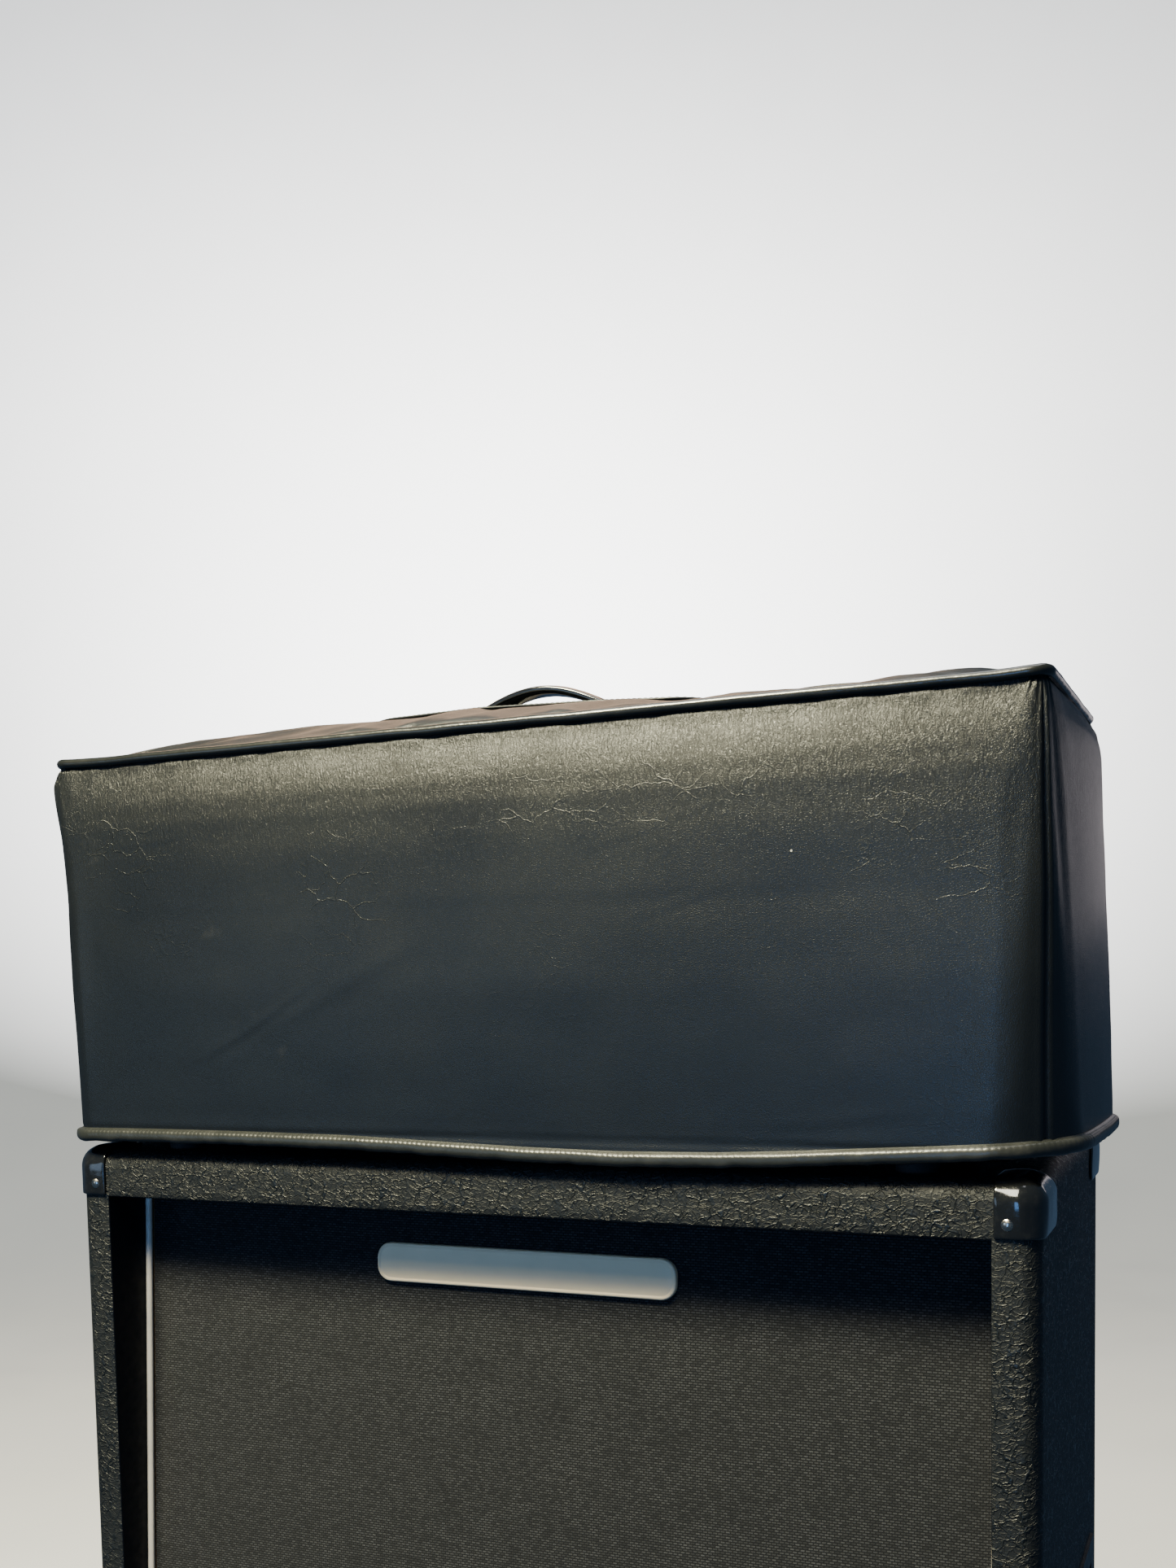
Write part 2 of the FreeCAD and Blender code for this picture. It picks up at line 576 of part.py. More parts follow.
# ---------------------------------------------------------------- head
def make_head_shell():
    """Plywood sleeve, front board with piping, slotted rear panel, corners and feet."""
    solid = block("head_block", (f"-{HEAD_SIDE}", HEAD_SIDE), (HEAD_FRONT, HEAD_REAR),
                  (HEAD_BASE, HEAD_TOP))
    envelope = rounded("head_envelope", solid, "head_edge")
    wide = (f"-{HEAD_SIDE} - 1", f"{HEAD_SIDE} + 1")
    deep = (f"{HEAD_FRONT} - 1", f"{HEAD_REAR} + 1")
    zones = (
        ("head_top_board", wide, (HEAD_CEILING, f"{HEAD_TOP} + 1")),
        ("head_bottom_board", wide, (f"{HEAD_BASE} - 1", HEAD_FLOOR)),
    )
    for label, xs, zs in zones:
        node(label, common(f"{label}_cut", envelope, block(f"{label}_zone", xs, deep, zs)))
    flank = common("head_flank", envelope, block("head_flank_zone", (HEAD_INSIDE, f"{HEAD_SIDE} + 1"), deep,
                                                 (HEAD_FLOOR, HEAD_CEILING)))
    node("head_side_boards", group("head_flanks", both_sides("head_flank", flank)))

    side = f"({HEAD_INSIDE} - 0.5)"
    low, high = f"({DECK} + 6)", f"({HEAD_CEILING} - 0.5)"
    face = f"({HEAD_FRONT} + front_recess)"
    node("head_front_board", block("front_board_block", (f"-{side}", side), (face, f"{face} + front_board"),
                                   (low, high)))
    strip = "head_piping"
    post = block("head_piping_post", (f"{side} - ({strip})", side), (f"{face} - ({strip})", face),
                 (f"{low} + {strip}", f"{high} - ({strip})"))
    rails = [block(f"head_piping_{name}", (f"-{side}", side), (f"{face} - ({strip})", face), span)
             for name, span in (("head", (f"{high} - ({strip})", high)),
                                ("foot", (low, f"{low} + {strip}")))]
    node("head_front_piping", group("head_piping_group", both_sides("head_piping_post", post) + rails))

    panel = block("rear_grille_sheet", (f"-{side}", side), (TRAY_REAR, f"{TRAY_REAR} + chassis_wall"),
                  (low, high))
    slots = [block(f"vent_{column}_{line}",
                   (f"{column} * vent_pitch - vent_half", f"{column} * vent_pitch + vent_half"),
                   (f"{TRAY_REAR} - 1", f"{TRAY_REAR} + 4"),
                   (f"{low} + vent_foot + {line} * vent_rise",
                    f"{low} + vent_foot + {line} * vent_rise + vent_gap"))
             for column in range(-4, 5) for line in range(7)]
    node("head_rear_grille", cut("rear_grille_cut", panel, slots))

    node("head_corners", corner_guards(
        "head_guard_piece", envelope, (HEAD_SIDE, HEAD_FRONT, HEAD_REAR, HEAD_BASE, HEAD_TOP),
        ("head_guard", "head_guard", "head_guard"), "head_guard_wall", "head_edge", "head_guard_nose",
        "guard_heel"))
    feet = []
    for facing, depth in (("front", f"{HEAD_MIDDLE} - head_foot_inset"),
                          ("rear", f"{HEAD_MIDDLE} + head_foot_inset")):
        foot = taper(f"head_foot_{facing}", "head_foot_radius - 2", "head_foot_radius", "head_foot",
                     (f"{HEAD_SIDE} - head_foot_inset", depth, CAB_TOP))
        feet += both_sides(f"head_foot_{facing}", foot)
    node("head_feet", group("head_foot_group", feet))


def make_handle():
    """An arched rubber strap held at each end by a moulded cap."""
    half_width = "strap_width / 2"
    centre = "strap_top - strap_thick - strap_bend"
    start = (0, f"{HEAD_MIDDLE} + {half_width}", centre)
    outer = rod("strap_outer", "strap_bend + strap_thick", "strap_width", start, FORWARD)
    inner = rod("strap_inner", "strap_bend", "strap_width + 2",
                (0, f"{HEAD_MIDDLE} + {half_width} + 1", centre),
                FORWARD)
    window = block("strap_window", ("-strap_half", "strap_half"),
                   (f"{HEAD_MIDDLE} - strap_width", f"{HEAD_MIDDLE} + strap_width"),
                   (f"{HEAD_TOP} + 1", "strap_top + 5"))
    node("handle_strap", common("strap_run", cut("strap_arch", outer, inner), window))

    cap = block("cap_block", ("strap_half", "strap_half + cap_length"),
                (f"{HEAD_MIDDLE} - cap_width / 2", f"{HEAD_MIDDLE} + cap_width / 2"),
                (HEAD_TOP, f"{HEAD_TOP} + cap_height"))
    far_top = value("strap_half + cap_length")
    top = value(f"{HEAD_TOP} + cap_height")

    def outer_edges(edge):
        middle = edge.CenterOfMass
        return abs(middle.x - far_top) < SNUG and abs(middle.z - top) < SNUG
    capped = rounded("cap_round", cap, "cap_edge", outer_edges)
    node("handle_end_caps", group("cap_pair", both_sides("cap_round", capped)))


def knob_place(number):
    return f"knob_first + {number} * knob_pitch"


SWITCHES = (("standby", "230"), ("power", "290"))
INPUTS = (("high", "-320"), ("low", "-285"))
OUTPUTS = (("left", "-70"), ("right", "-30"))
SELECTOR = "40"
INLET = "290"
LAMP = "165"


def front_holes(tag, near, far):
    """Cutters for everything that passes the front of the chassis."""
    depth = f"({far}) - ({near})"
    holes = [rod(f"{tag}_pot_hole_{number}", "pot_bush + 0.3", depth,
                 (knob_place(number), near, KNOB_HEIGHT), BACKWARD)
             for number in range(6)]
    holes += [rod(f"{tag}_input_hole_{name}", "jack_bush + 0.1", depth, (across, near, KNOB_HEIGHT),
                  BACKWARD)
              for name, across in INPUTS]
    holes.append(rod(f"{tag}_lamp_hole", "lamp_stem + 0.1", depth, (LAMP, near, KNOB_HEIGHT), BACKWARD))
    wide, tall = "(switch_half + 0.2)", "(switch_rise + 0.2)"
    holes += [block(f"{tag}_switch_hole_{name}", (f"{across} - {wide}", f"{across} + {wide}"), (near, far),
                    (f"{KNOB_HEIGHT} - {tall}", f"{KNOB_HEIGHT} + {tall}")) for name, across in SWITCHES]
    return holes


VALVES = [("power", f"{-20 - 50 * number}", "17.5", "14") for number in range(4)]
VALVES += [("preamp", f"{-225 - 42 * number}", "11", "9") for number in range(3)]


def make_chassis():
    """Open-bottomed steel tray of welded plates; a short plate of its own carries the mains inlet."""
    half, inner = "chassis_half", "(chassis_half - chassis_wall)"
    ceiling = f"{DECK} - chassis_wall"
    deck = block("tray_deck", (f"-{half}", half), (TRAY_FACE, TRAY_REAR), (ceiling, DECK))
    sockets = [rod(f"socket_hole_{number}", f"{hole} + 0.2", "chassis_wall + 2",
                   (across, HEAD_MIDDLE, f"{ceiling} - 1"))
               for number, (kind, across, base, hole) in enumerate(VALVES)]
    front = block("tray_front", (f"-{half}", half), (TRAY_FACE, f"{TRAY_FACE} + chassis_wall"),
                  (HEAD_FLOOR, ceiling))
    walls = [cut("deck_drilled", deck, sockets),
             cut("front_drilled", front, front_holes("tray", f"{TRAY_FACE} - 1",
                                                     f"{TRAY_FACE} + chassis_wall + 1"))]
    walls += [block(f"tray_side_{name}", across, (f"{TRAY_FACE} + chassis_wall", TRAY_REAR),
                    (HEAD_FLOOR, ceiling))
              for name, across in (("left", (f"-{half}", f"-{inner}")), ("right", (inner, half)))]

    near = f"{TRAY_REAR} - chassis_wall - 1"
    seam = f"{inner} - inlet_bay"
    thick = (f"{TRAY_REAR} - chassis_wall", TRAY_REAR)
    rear = block("rear_plate", (f"-{inner}", seam), thick, (HEAD_FLOOR, ceiling))
    rear_holes = [rod(f"output_hole_{name}", "jack_bush + 0.1", "chassis_wall + 2",
                      (across, near, KNOB_HEIGHT), BACKWARD) for name, across in OUTPUTS]
    rear_holes.append(rod("selector_hole", "shaft_radius + fit_gap", "chassis_wall + 2",
                          (SELECTOR, near, KNOB_HEIGHT), BACKWARD))
    bay = block("inlet_bay_plate", (seam, inner), thick, (HEAD_FLOOR, ceiling))
    wide, tall = "(inlet_half + 0.2)", "(inlet_rise + 0.2)"
    inlet_hole = block("inlet_hole", (f"{INLET} - {wide}", f"{INLET} + {wide}"),
                       (near, f"{TRAY_REAR} + 1"), (f"{KNOB_HEIGHT} - {tall}", f"{KNOB_HEIGHT} + {tall}"))
    walls += [cut("rear_drilled", rear, rear_holes), cut("inlet_bay_drilled", bay, inlet_hole)]
    node("chassis_tray", group("tray_plates", walls))

    plate = block("panel_block", (f"-{HEAD_INSIDE} + 1", f"{HEAD_INSIDE} - 1"), (PANEL_FACE, TRAY_FACE),
                  (f"{HEAD_FLOOR} + 1", f"{DECK} + 4"))
    node("control_panel", cut("panel_drilled", plate, front_holes("panel", f"{PANEL_FACE} - 1",
                                                                  f"{TRAY_FACE} + 1")))


def make_controls():
    """Six potentiometers with their knobs, two rocker switches, lamp, jacks and selector."""
    pots = []
    body_face = f"{TRAY_FACE} + chassis_wall"
    names = ("presence", "bass", "middle", "treble", "master", "preamp")
    for number, name in enumerate(names):
        across = knob_place(number)
        bush = rod(f"pot_bushing_{name}", "pot_bush", "17.5", (across, f"{body_face} - 7.5", KNOB_HEIGHT),
                   BACKWARD)
        case = rod(f"pot_body_{name}", "pot_case", "pot_case_depth", (across, body_face, KNOB_HEIGHT),
                   BACKWARD)
        nut = rod(f"pot_washer_{name}", "pot_nut", "2", (across, f"{PANEL_FACE} - 2", KNOB_HEIGHT),
                  BACKWARD)
        bore = rod(f"pot_bore_{name}", "shaft_radius + fit_gap", "17",
                   (across, f"{body_face} - 8", KNOB_HEIGHT),
                   BACKWARD)
        pots.append(cut(f"pot_{name}", fuse(f"pot_solid_{name}", [bush, case, nut]), bore))

        nose = f"{HEAD_FRONT} + nose_set_back"
        cap = rod(f"knob_barrel_{name}", "knob_radius - 1.5", "knob_cap", (across, nose, KNOB_HEIGHT),
                  BACKWARD)
        skirt = taper(f"knob_flare_{name}", "knob_radius", "knob_radius + 1.5", "knob_skirt",
                      (across, f"{nose} + knob_cap", KNOB_HEIGHT), BACKWARD)
        shaft = rod(f"knob_shaft_{name}", "shaft_radius", "knob_stem",
                    (across, f"{nose} + knob_cap + knob_skirt", KNOB_HEIGHT), BACKWARD)
        groove = block(f"knob_line_{name}", (f"{across} - 0.6", f"{across} + 0.6"),
                       (f"{nose} - 1", f"{nose} + 0.8"),
                       (KNOB_HEIGHT, f"{KNOB_HEIGHT} + knob_radius"))
        node(f"knob_{name}", cut(f"knob_body_{name}", fuse(f"knob_solid_{name}", [cap, skirt, shaft]),
                                 groove))
    node("potentiometers", group("pot_group", pots))

    sockets = [jack(f"input_{name}", across, PANEL_FACE, KNOB_HEIGHT, FORWARD, "panel_plate + chassis_wall")
               for name, across in INPUTS]
    sockets += [jack(f"output_{name}", across, TRAY_REAR, KNOB_HEIGHT, BACKWARD, "chassis_wall")
                for name, across in OUTPUTS]
    node("jack_sockets", group("jack_group", sockets))

    lamp_parts = [
        rod("lamp_barrel", "lamp_stem", "20", (LAMP, f"{PANEL_FACE} + 16", KNOB_HEIGHT), FORWARD),
        rod("lamp_rim", "lamp_bezel", "2", (LAMP, PANEL_FACE, KNOB_HEIGHT), FORWARD),
        dome("lamp_lens", "lamp_jewel", (LAMP, f"{PANEL_FACE} - 3.5", KNOB_HEIGHT), FORWARD),
    ]
    node("pilot_lamp", fuse("lamp_solid", lamp_parts))

    disc = rod("selector_disc", "selector_radius", "selector_depth",
               (SELECTOR, f"{TRAY_REAR} + 0.4", KNOB_HEIGHT), BACKWARD)
    spindle = rod("selector_spindle", "shaft_radius", "12", (SELECTOR, f"{TRAY_REAR} + 1", KNOB_HEIGHT),
                  FORWARD)
    coin_slot = block("selector_slot", (f"{SELECTOR} - selector_radius + 2",
                                        f"{SELECTOR} + selector_radius - 2"),
                      (f"{TRAY_REAR} + 5", f"{TRAY_REAR} + 8"),
                      (f"{KNOB_HEIGHT} - 1", f"{KNOB_HEIGHT} + 1"))
    node("impedance_selector", cut("selector_cut", fuse("selector_solid", [disc, spindle]), coin_slot))


def make_switches():
    """Rocker switches: a housing with two pivot holes, and a key tilted to its off side."""
    housings = []
    pivot = f"({PANEL_FACE} + pivot_set_back)"

    def zone(name, across, grow, near, far):
        """A box round a switch's middle, grown past its case, between two depths from the panel."""
        return block(name, (f"{across} - switch_half - ({grow})", f"{across} + switch_half + ({grow})"),
                     (f"{PANEL_FACE} + ({near})", f"{PANEL_FACE} + ({far})"),
                     (f"{KNOB_HEIGHT} - switch_rise - ({grow})", f"{KNOB_HEIGHT} + switch_rise + ({grow})"))
    for name, across in SWITCHES:
        rim = zone(f"switch_flange_{name}", across, "switch_rim", "-1.5", "0")
        case = zone(f"switch_case_{name}", across, "0", "-1", "switch_depth")
        well = zone(f"switch_well_{name}", across, "-switch_wall", "-2", "12")
        hole = rod(f"switch_pivot_{name}", "pivot_radius + fit_gap", "2 * switch_half - 1",
                   (f"{across} - switch_half + 0.5", pivot, KNOB_HEIGHT), LENGTHWAYS)
        housings.append(cut(f"switch_{name}", fuse(f"switch_solid_{name}", [rim, case]), [well, hole]))

        key = block(f"rocker_key_{name}", ("-rocker_width / 2", "rocker_width / 2"), ("-8", "3"),
                    ("-rocker_half", "rocker_half"))
        pin = rod(f"rocker_pin_{name}", "pivot_radius", "2 * switch_half - 2",
                  ("1 - switch_half", "0", "0"), LENGTHWAYS)
        rocker = fuse(f"rocker_{name}", [key, pin])
        place(rocker, (across, pivot, KNOB_HEIGHT), Rotation(RIGHT, -value("rocker_tilt")))
        node(f"{name}_switch", rocker)
    node("switch_housings", group("switch_group", housings))


def make_electronics():
    """Circuit board, transformers, capacitors, sockets, valves and the mains inlet."""
    board_low = f"{HEAD_FLOOR} + board_clearance"
    board = block("board_block", ("-board_half", "board_half"),
                  (f"{HEAD_FRONT} + board_front", f"{HEAD_FRONT} + board_rear"),
                  (board_low, f"{board_low} + board_sheet"))
    parts = [rod(f"board_part_{column}_{line}", "2.2", "14",
                 (f"{column} * 36", f"{HEAD_FRONT} + board_front + 12 + {line} * 38", f"{board_low} - 2.3"),
                 BACKWARD)
             for column in range(-4, 5) for line in range(2)]
    node("circuit_board", group("board_group", [board] + parts))

    irons = (
        ("mains_transformer", "255", "mains_half", "mains_deep", "mains_tall"),
        ("output_transformer", "120", "output_half", "output_deep", "output_tall"),
    )
    for label, across, half_width, half_depth, height in irons:
        core = block(f"{label}_core", (f"{across} - {half_width}", f"{across} + {half_width}"),
                     (f"{HEAD_MIDDLE} - {half_depth} / 2", f"{HEAD_MIDDLE} + {half_depth} / 2"),
                     (DECK, f"{DECK} + {height}"))
        coil = block(f"{label}_bell", (f"{across} - {half_width} * 0.6", f"{across} + {half_width} * 0.6"),
                     (f"{HEAD_MIDDLE} - {half_depth}", f"{HEAD_MIDDLE} + {half_depth}"),
                     (f"{DECK} + 8", f"{DECK} + {height} - 12"))
        bell = rounded(f"{label}_bell_round", coil, "8")
        node(label, fuse(f"{label}_solid", [core, bell]))

    cans = [rod(f"can_{facing}", "can_radius", "can_tall", ("40", f"{HEAD_MIDDLE} + ({depth})", DECK))
            for facing, depth in (("front", "-can_spread"), ("rear", "can_spread"))]
    node("filter_capacitors", group("can_group", cans))

    sockets = []
    power = []
    preamp = []
    for number, (kind, across, base, hole) in enumerate(VALVES):
        flange = rod(f"socket_flange_{number}", f"{base} + 2", "4", (across, HEAD_MIDDLE, DECK))
        skirt = rod(f"socket_skirt_{number}", hole, "12", (across, HEAD_MIDDLE, f"{DECK} - 10"))
        sockets.append(fuse(f"socket_{number}", [flange, skirt]))
        tall = kind == "power"
        glass_radius = 16 if tall else 10.5
        top = 96 if tall else 50
        seat = 22 if tall else 6
        profile = [("0", "4"), (base, "4"), (base, f"{seat}"), (f"{glass_radius}", f"{seat + 3}"),
                   (f"{glass_radius}", f"{top - 12}"), (f"{glass_radius * 0.6}", f"{top - 3}"),
                   ("0", f"{top}")]
        valve = spun(f"{kind}_valve_{number}", profile)
        place(valve, (across, HEAD_MIDDLE, DECK))
        (power if tall else preamp).append(valve)
    node("valve_sockets", group("socket_group", sockets))
    node("power_valves", group("power_valve_group", power))
    node("preamp_valves", group("preamp_valve_group", preamp))

    def zone(name, grow, near, far):
        """A box round the inlet's middle, grown past its case, between two depths from the tray's rear."""
        return block(name, (f"{INLET} - inlet_half - ({grow})", f"{INLET} + inlet_half + ({grow})"),
                     (f"{TRAY_REAR} + ({near})", f"{TRAY_REAR} + ({far})"),
                     (f"{KNOB_HEIGHT} - inlet_rise - ({grow})", f"{KNOB_HEIGHT} + inlet_rise + ({grow})"))
    case = zone("inlet_case", "0", "-inlet_depth", "inlet_flange")
    flange = zone("inlet_plate", "inlet_rim", "0", "inlet_flange")
    mouth = zone("inlet_mouth", "-inlet_wall", "8 - inlet_depth", "inlet_flange + 1.5")
    pins = [block(f"inlet_pin_{number}", (f"{INLET} + {shift} - 1", f"{INLET} + {shift} + 1"),
                  (f"{TRAY_REAR} - 18", f"{TRAY_REAR} - 6"), (f"{KNOB_HEIGHT} - 2", f"{KNOB_HEIGHT} + 2"))
            for number, shift in enumerate((-7, 0, 7))]
    hollow = cut("inlet_hollow", fuse("inlet_solid", [case, flange]), mouth)
    node("mains_inlet", fuse("inlet_with_pins", [hollow] + pins))


# ---------------------------------------------------------------- dust cover
def frustum(name, drop):
    """A low tent from the cover's rim to a flat ridge round the handle slot."""
    wedge = doc.addObject("Part::Wedge", name)
    ridge_x, ridge_y = "(slot_half + ridge_margin)", "(slot_depth / 2 + ridge_margin)"
    limits = {
        "Xmin": "-cover_half", "Xmax": "cover_half", "Ymin": "0", "Ymax": "crown",
        "Zmin": f"-({HEAD_MIDDLE} - {COVER_FACE})", "Zmax": f"cover_back - {HEAD_MIDDLE}",
        "X2min": f"-{ridge_x}", "X2max": ridge_x, "Z2min": f"-{ridge_y}", "Z2max": ridge_y,
    }
    for prop, text in limits.items():
        wedge.setExpression(prop, words(text))
    place(wedge, ("0", HEAD_MIDDLE, f"cover_top - {drop}"),
          BACKWARD.multiply(Rotation(Vector(0, 0, 1), 180)))
    return wedge


def make_cover():
    """Leatherette dust cover: four walls, a tented top with a handle slot, welt and hem."""
    half, wall = "cover_half", "cover_wall"
    low = "hem_foot + hem_height"
    wide = (f"-{half}", half)
    span = (low, "cover_top")
    node("cover_front_panel", block("cover_front_wall", wide, (COVER_FACE, f"{COVER_FACE} + {wall}"), span))
    node("cover_back_panel", block("cover_back_wall", wide, (f"cover_back - {wall}", "cover_back"), span))
    side = block("cover_side_wall", (f"{half} - {wall}", half),
                 (f"{COVER_FACE} + {wall}", f"cover_back - {wall}"),
                 span)
    node("cover_side_panels", group("cover_side_pair", both_sides("cover_side_wall", side)))

    tent = cut("cover_tent", frustum("tent_outside", "0"), frustum("tent_inside", wall))
    above = block("tent_zone", wide, (COVER_FACE, "cover_back"), ("cover_top", "cover_top + crown + 1"))
    slot = block("handle_slot", ("-slot_half", "slot_half"),
                 (f"{HEAD_MIDDLE} - slot_depth / 2", f"{HEAD_MIDDLE} + slot_depth / 2"),
                 ("cover_top - 5", "cover_top + crown + 5"))
    node("cover_top_panel", cut("cover_tent_slotted", common("cover_tent_trimmed", tent, above), slot))

    deep = (COVER_FACE, "cover_back")
    grown = (f"-{half} - hem_proud", f"{half} + hem_proud"), (f"{COVER_FACE} - hem_proud",
                                                              "cover_back + hem_proud")
    inner = (f"-{half} + {wall}", f"{half} - {wall}"), (f"{COVER_FACE} + {wall}", f"cover_back - {wall}")
    node("cover_hem", ring("hem_ring", grown, inner, ("hem_foot", low)))
    node("cover_welt", ring("welt_ring", grown, (wide, deep),
                            ("cover_top - welt / 2", "cover_top + welt / 2")))


# ---------------------------------------------------------------- build and hand over
cabinet_envelope = make_cabinet_shell()
make_baffle()
make_grille()
make_cabinet_back()
make_cabinet_fittings(cabinet_envelope)
make_speakers()
make_head_shell()
make_handle()
make_chassis()
make_controls()
make_switches()
make_electronics()
make_cover()
doc.recompute()

for item in doc.Objects:
    if "Invalid" in item.State or "Error" in item.State:
        raise RuntimeError(f"{item.Name} failed: {item.State}")
os.makedirs("parts", exist_ok=True)
for piece in nodes:
    shape = piece.Shape
    if shape.isNull() or not shape.isValid() or not shape.Solids:
        raise RuntimeError(f"{piece.Label} has no valid solid")
    shape.exportStep(f"parts/{piece.Label}.step")
    box = shape.BoundBox
    print(f"{piece.Label:22} {len(shape.Solids):3} solids {shape.Volume / 1000:10.1f} cm3 "
          f"x {box.XMin:7.1f} {box.XMax:7.1f}  y {box.YMin:7.1f} {box.YMax:7.1f}  "
          f"z {box.ZMin:7.1f} {box.ZMax:7.1f}")
print(len(nodes), "sub-parts")
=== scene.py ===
import json
import math

import bpy
import numpy as np
from mathutils import Matrix, Vector, noise


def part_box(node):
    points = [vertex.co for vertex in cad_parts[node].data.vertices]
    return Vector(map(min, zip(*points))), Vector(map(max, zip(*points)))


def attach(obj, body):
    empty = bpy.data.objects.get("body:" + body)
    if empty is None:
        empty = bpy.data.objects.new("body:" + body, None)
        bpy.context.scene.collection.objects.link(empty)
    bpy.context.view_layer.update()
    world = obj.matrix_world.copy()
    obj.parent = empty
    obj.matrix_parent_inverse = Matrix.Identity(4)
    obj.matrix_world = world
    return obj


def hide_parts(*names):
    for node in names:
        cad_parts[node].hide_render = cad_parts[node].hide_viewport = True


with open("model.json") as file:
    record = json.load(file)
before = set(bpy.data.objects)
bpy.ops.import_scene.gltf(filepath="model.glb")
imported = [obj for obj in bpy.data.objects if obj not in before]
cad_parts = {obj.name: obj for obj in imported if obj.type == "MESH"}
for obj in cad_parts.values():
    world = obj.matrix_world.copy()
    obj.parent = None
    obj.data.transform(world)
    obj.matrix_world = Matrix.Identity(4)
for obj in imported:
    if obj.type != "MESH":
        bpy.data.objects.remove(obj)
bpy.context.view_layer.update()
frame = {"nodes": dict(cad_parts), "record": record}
nodes = frame["nodes"]

MM = 0.001
SHARP_EDGE, SHARP_FOLD = 35, 50  # degrees


# ---- geometry helpers (millimetres)
def low(node):
    return [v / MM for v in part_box(node)[0]]


def high(node):
    return [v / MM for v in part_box(node)[1]]


def middle(node):
    return [(a + b) / 2 for a, b in zip(low(node), high(node))]


def drift(*place):
    """A smooth random value, from -1 to 1, that belongs to a place."""
    return noise.noise(Vector(place))


def shade_smooth(mesh):
    mesh.polygons.foreach_set("use_smooth", [True] * len(mesh.polygons))


def vertex_places(mesh):
    """The mesh's vertices in millimetres, one row each."""
    places = np.empty(len(mesh.vertices) * 3)
    mesh.vertices.foreach_get("co", places)
    return places.reshape(-1, 3) / MM


def piece(name, points, faces, materials, body, faces_material=None):
    """A mesh object from points in millimetres, or from rows of them, riding on a CAD body."""
    mesh = bpy.data.meshes.new(name)
    mesh.from_pydata((np.asarray(points, float).reshape(-1, 3) * MM).tolist(), [], faces)
    for item in materials:
        mesh.materials.append(item)
    if faces_material is not None:
        mesh.polygons.foreach_set("material_index", faces_material)
    shade_smooth(mesh)
    mesh.update()
    obj = bpy.data.objects.new(name, mesh)
    bpy.context.scene.collection.objects.link(obj)
    if body:
        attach(obj, body)
    return obj


def strip_faces(rows, columns, wrap, close=False):
    """Quads between rows of points. wrap joins each row's ends, close joins the last row to the first."""
    faces = []
    for i in range(rows if close else rows - 1):
        here, there = i * columns, (i + 1) % rows * columns
        for j in range(columns if wrap else columns - 1):
            k = (j + 1) % columns
            faces.append((here + j, here + k, there + k, there + j))
    return faces


def row_face(row, columns):
    """One face over a whole row of points."""
    return tuple(range(row * columns, (row + 1) * columns))


def write_uv(obj, coordinates):
    """coordinates: one (u, v) for each vertex, in metres."""
    layer = obj.data.uv_layers.new(name="cut")
    corners = np.empty(len(obj.data.loops), int)
    obj.data.loops.foreach_get("vertex_index", corners)
    layer.data.foreach_set("uv", np.asarray(coordinates, float)[corners].ravel())


def rounded_loop(half_a, half_b, radius, side_a, side_b, arc, centre=(0, 0)):
    """Anticlockwise loop of a rounded rectangle. The counts of points on its sides and arcs are given."""
    least_radius = 0.01
    radius = max(min(radius, half_a, half_b), least_radius)
    a, b = half_a - radius, half_b - radius
    sides = (
        ((half_a, -b), (half_a, b), (a, b), side_b),
        ((a, half_b), (-a, half_b), (-a, b), side_a),
        ((-half_a, b), (-half_a, -b), (-a, -b), side_b),
        ((-a, -half_b), (a, -half_b), (a, -b), side_a),
    )
    points = []
    for turn, (start, end, corner, count) in enumerate(sides):
        for k in range(count):
            points.append([s + (e - s) * k / count for s, e in zip(start, end)])
        for k in range(arc):
            angle = math.pi / 2 * (turn + k / arc)
            points.append((corner[0] + radius * math.cos(angle), corner[1] + radius * math.sin(angle)))
    return [(x + centre[0], y + centre[1]) for x, y in points]


def unit(vectors):
    return vectors / np.linalg.norm(vectors, axis=1)[:, None]


def distance_run(path):
    return np.concatenate([[0], np.cumsum(np.linalg.norm(np.diff(path, axis=0), axis=1))])


def sweep(name, path, section, material, body, upward=(0, 0, 1), closed=True):
    """Carries a section of (outward, upward) points along a path. The u of its UV is the distance run."""
    path = np.asarray(path, float)
    count = len(path)
    if closed:
        tangent = unit(np.roll(path, -1, 0) - np.roll(path, 1, 0))
    else:
        tangent = unit(np.gradient(path, axis=0))
    out = unit(np.cross(tangent, upward))
    up = np.cross(out, tangent)
    run = distance_run(path)
    sections = [section(run[i]) if callable(section) else section for i in range(count)]
    size = len(sections[0])
    points = [
        [path[i] + out[i] * along_out + up[i] * along_up for along_out, along_up in sections[i]]
        for i in range(count)
    ]
    faces = strip_faces(count, size, True, closed)
    if not closed:
        faces += [row_face(0, size)[::-1], row_face(count - 1, size)]
    obj = piece(name, points, faces, [material], body)
    write_uv(obj, [(run[i] * MM, j / size) for i in range(count) for j in range(size)])
    return obj


def disc(radius, count):
    turns = [2 * math.pi * k / count for k in range(count)]
    return [(radius * math.cos(a), radius * math.sin(a)) for a in turns]


def smooth_by_angle(obj, bevel=0.0):
    """Smooth shading with hard edges kept, and a small bevel where bevel is given in millimetres."""
    bevel_above, bevel_segments = 40, 2
    shade_smooth(obj.data)
    obj.data.set_sharp_from_angle(angle=math.radians(SHARP_EDGE))
    if bevel:
        soften = obj.modifiers.new("edge", "BEVEL")
        soften.width, soften.segments, soften.limit_method = bevel * MM, bevel_segments, "ANGLE"
        soften.angle_limit = math.radians(bevel_above)
    weigh = obj.modifiers.new("normals", "WEIGHTED_NORMAL")
    weigh.keep_sharp = True


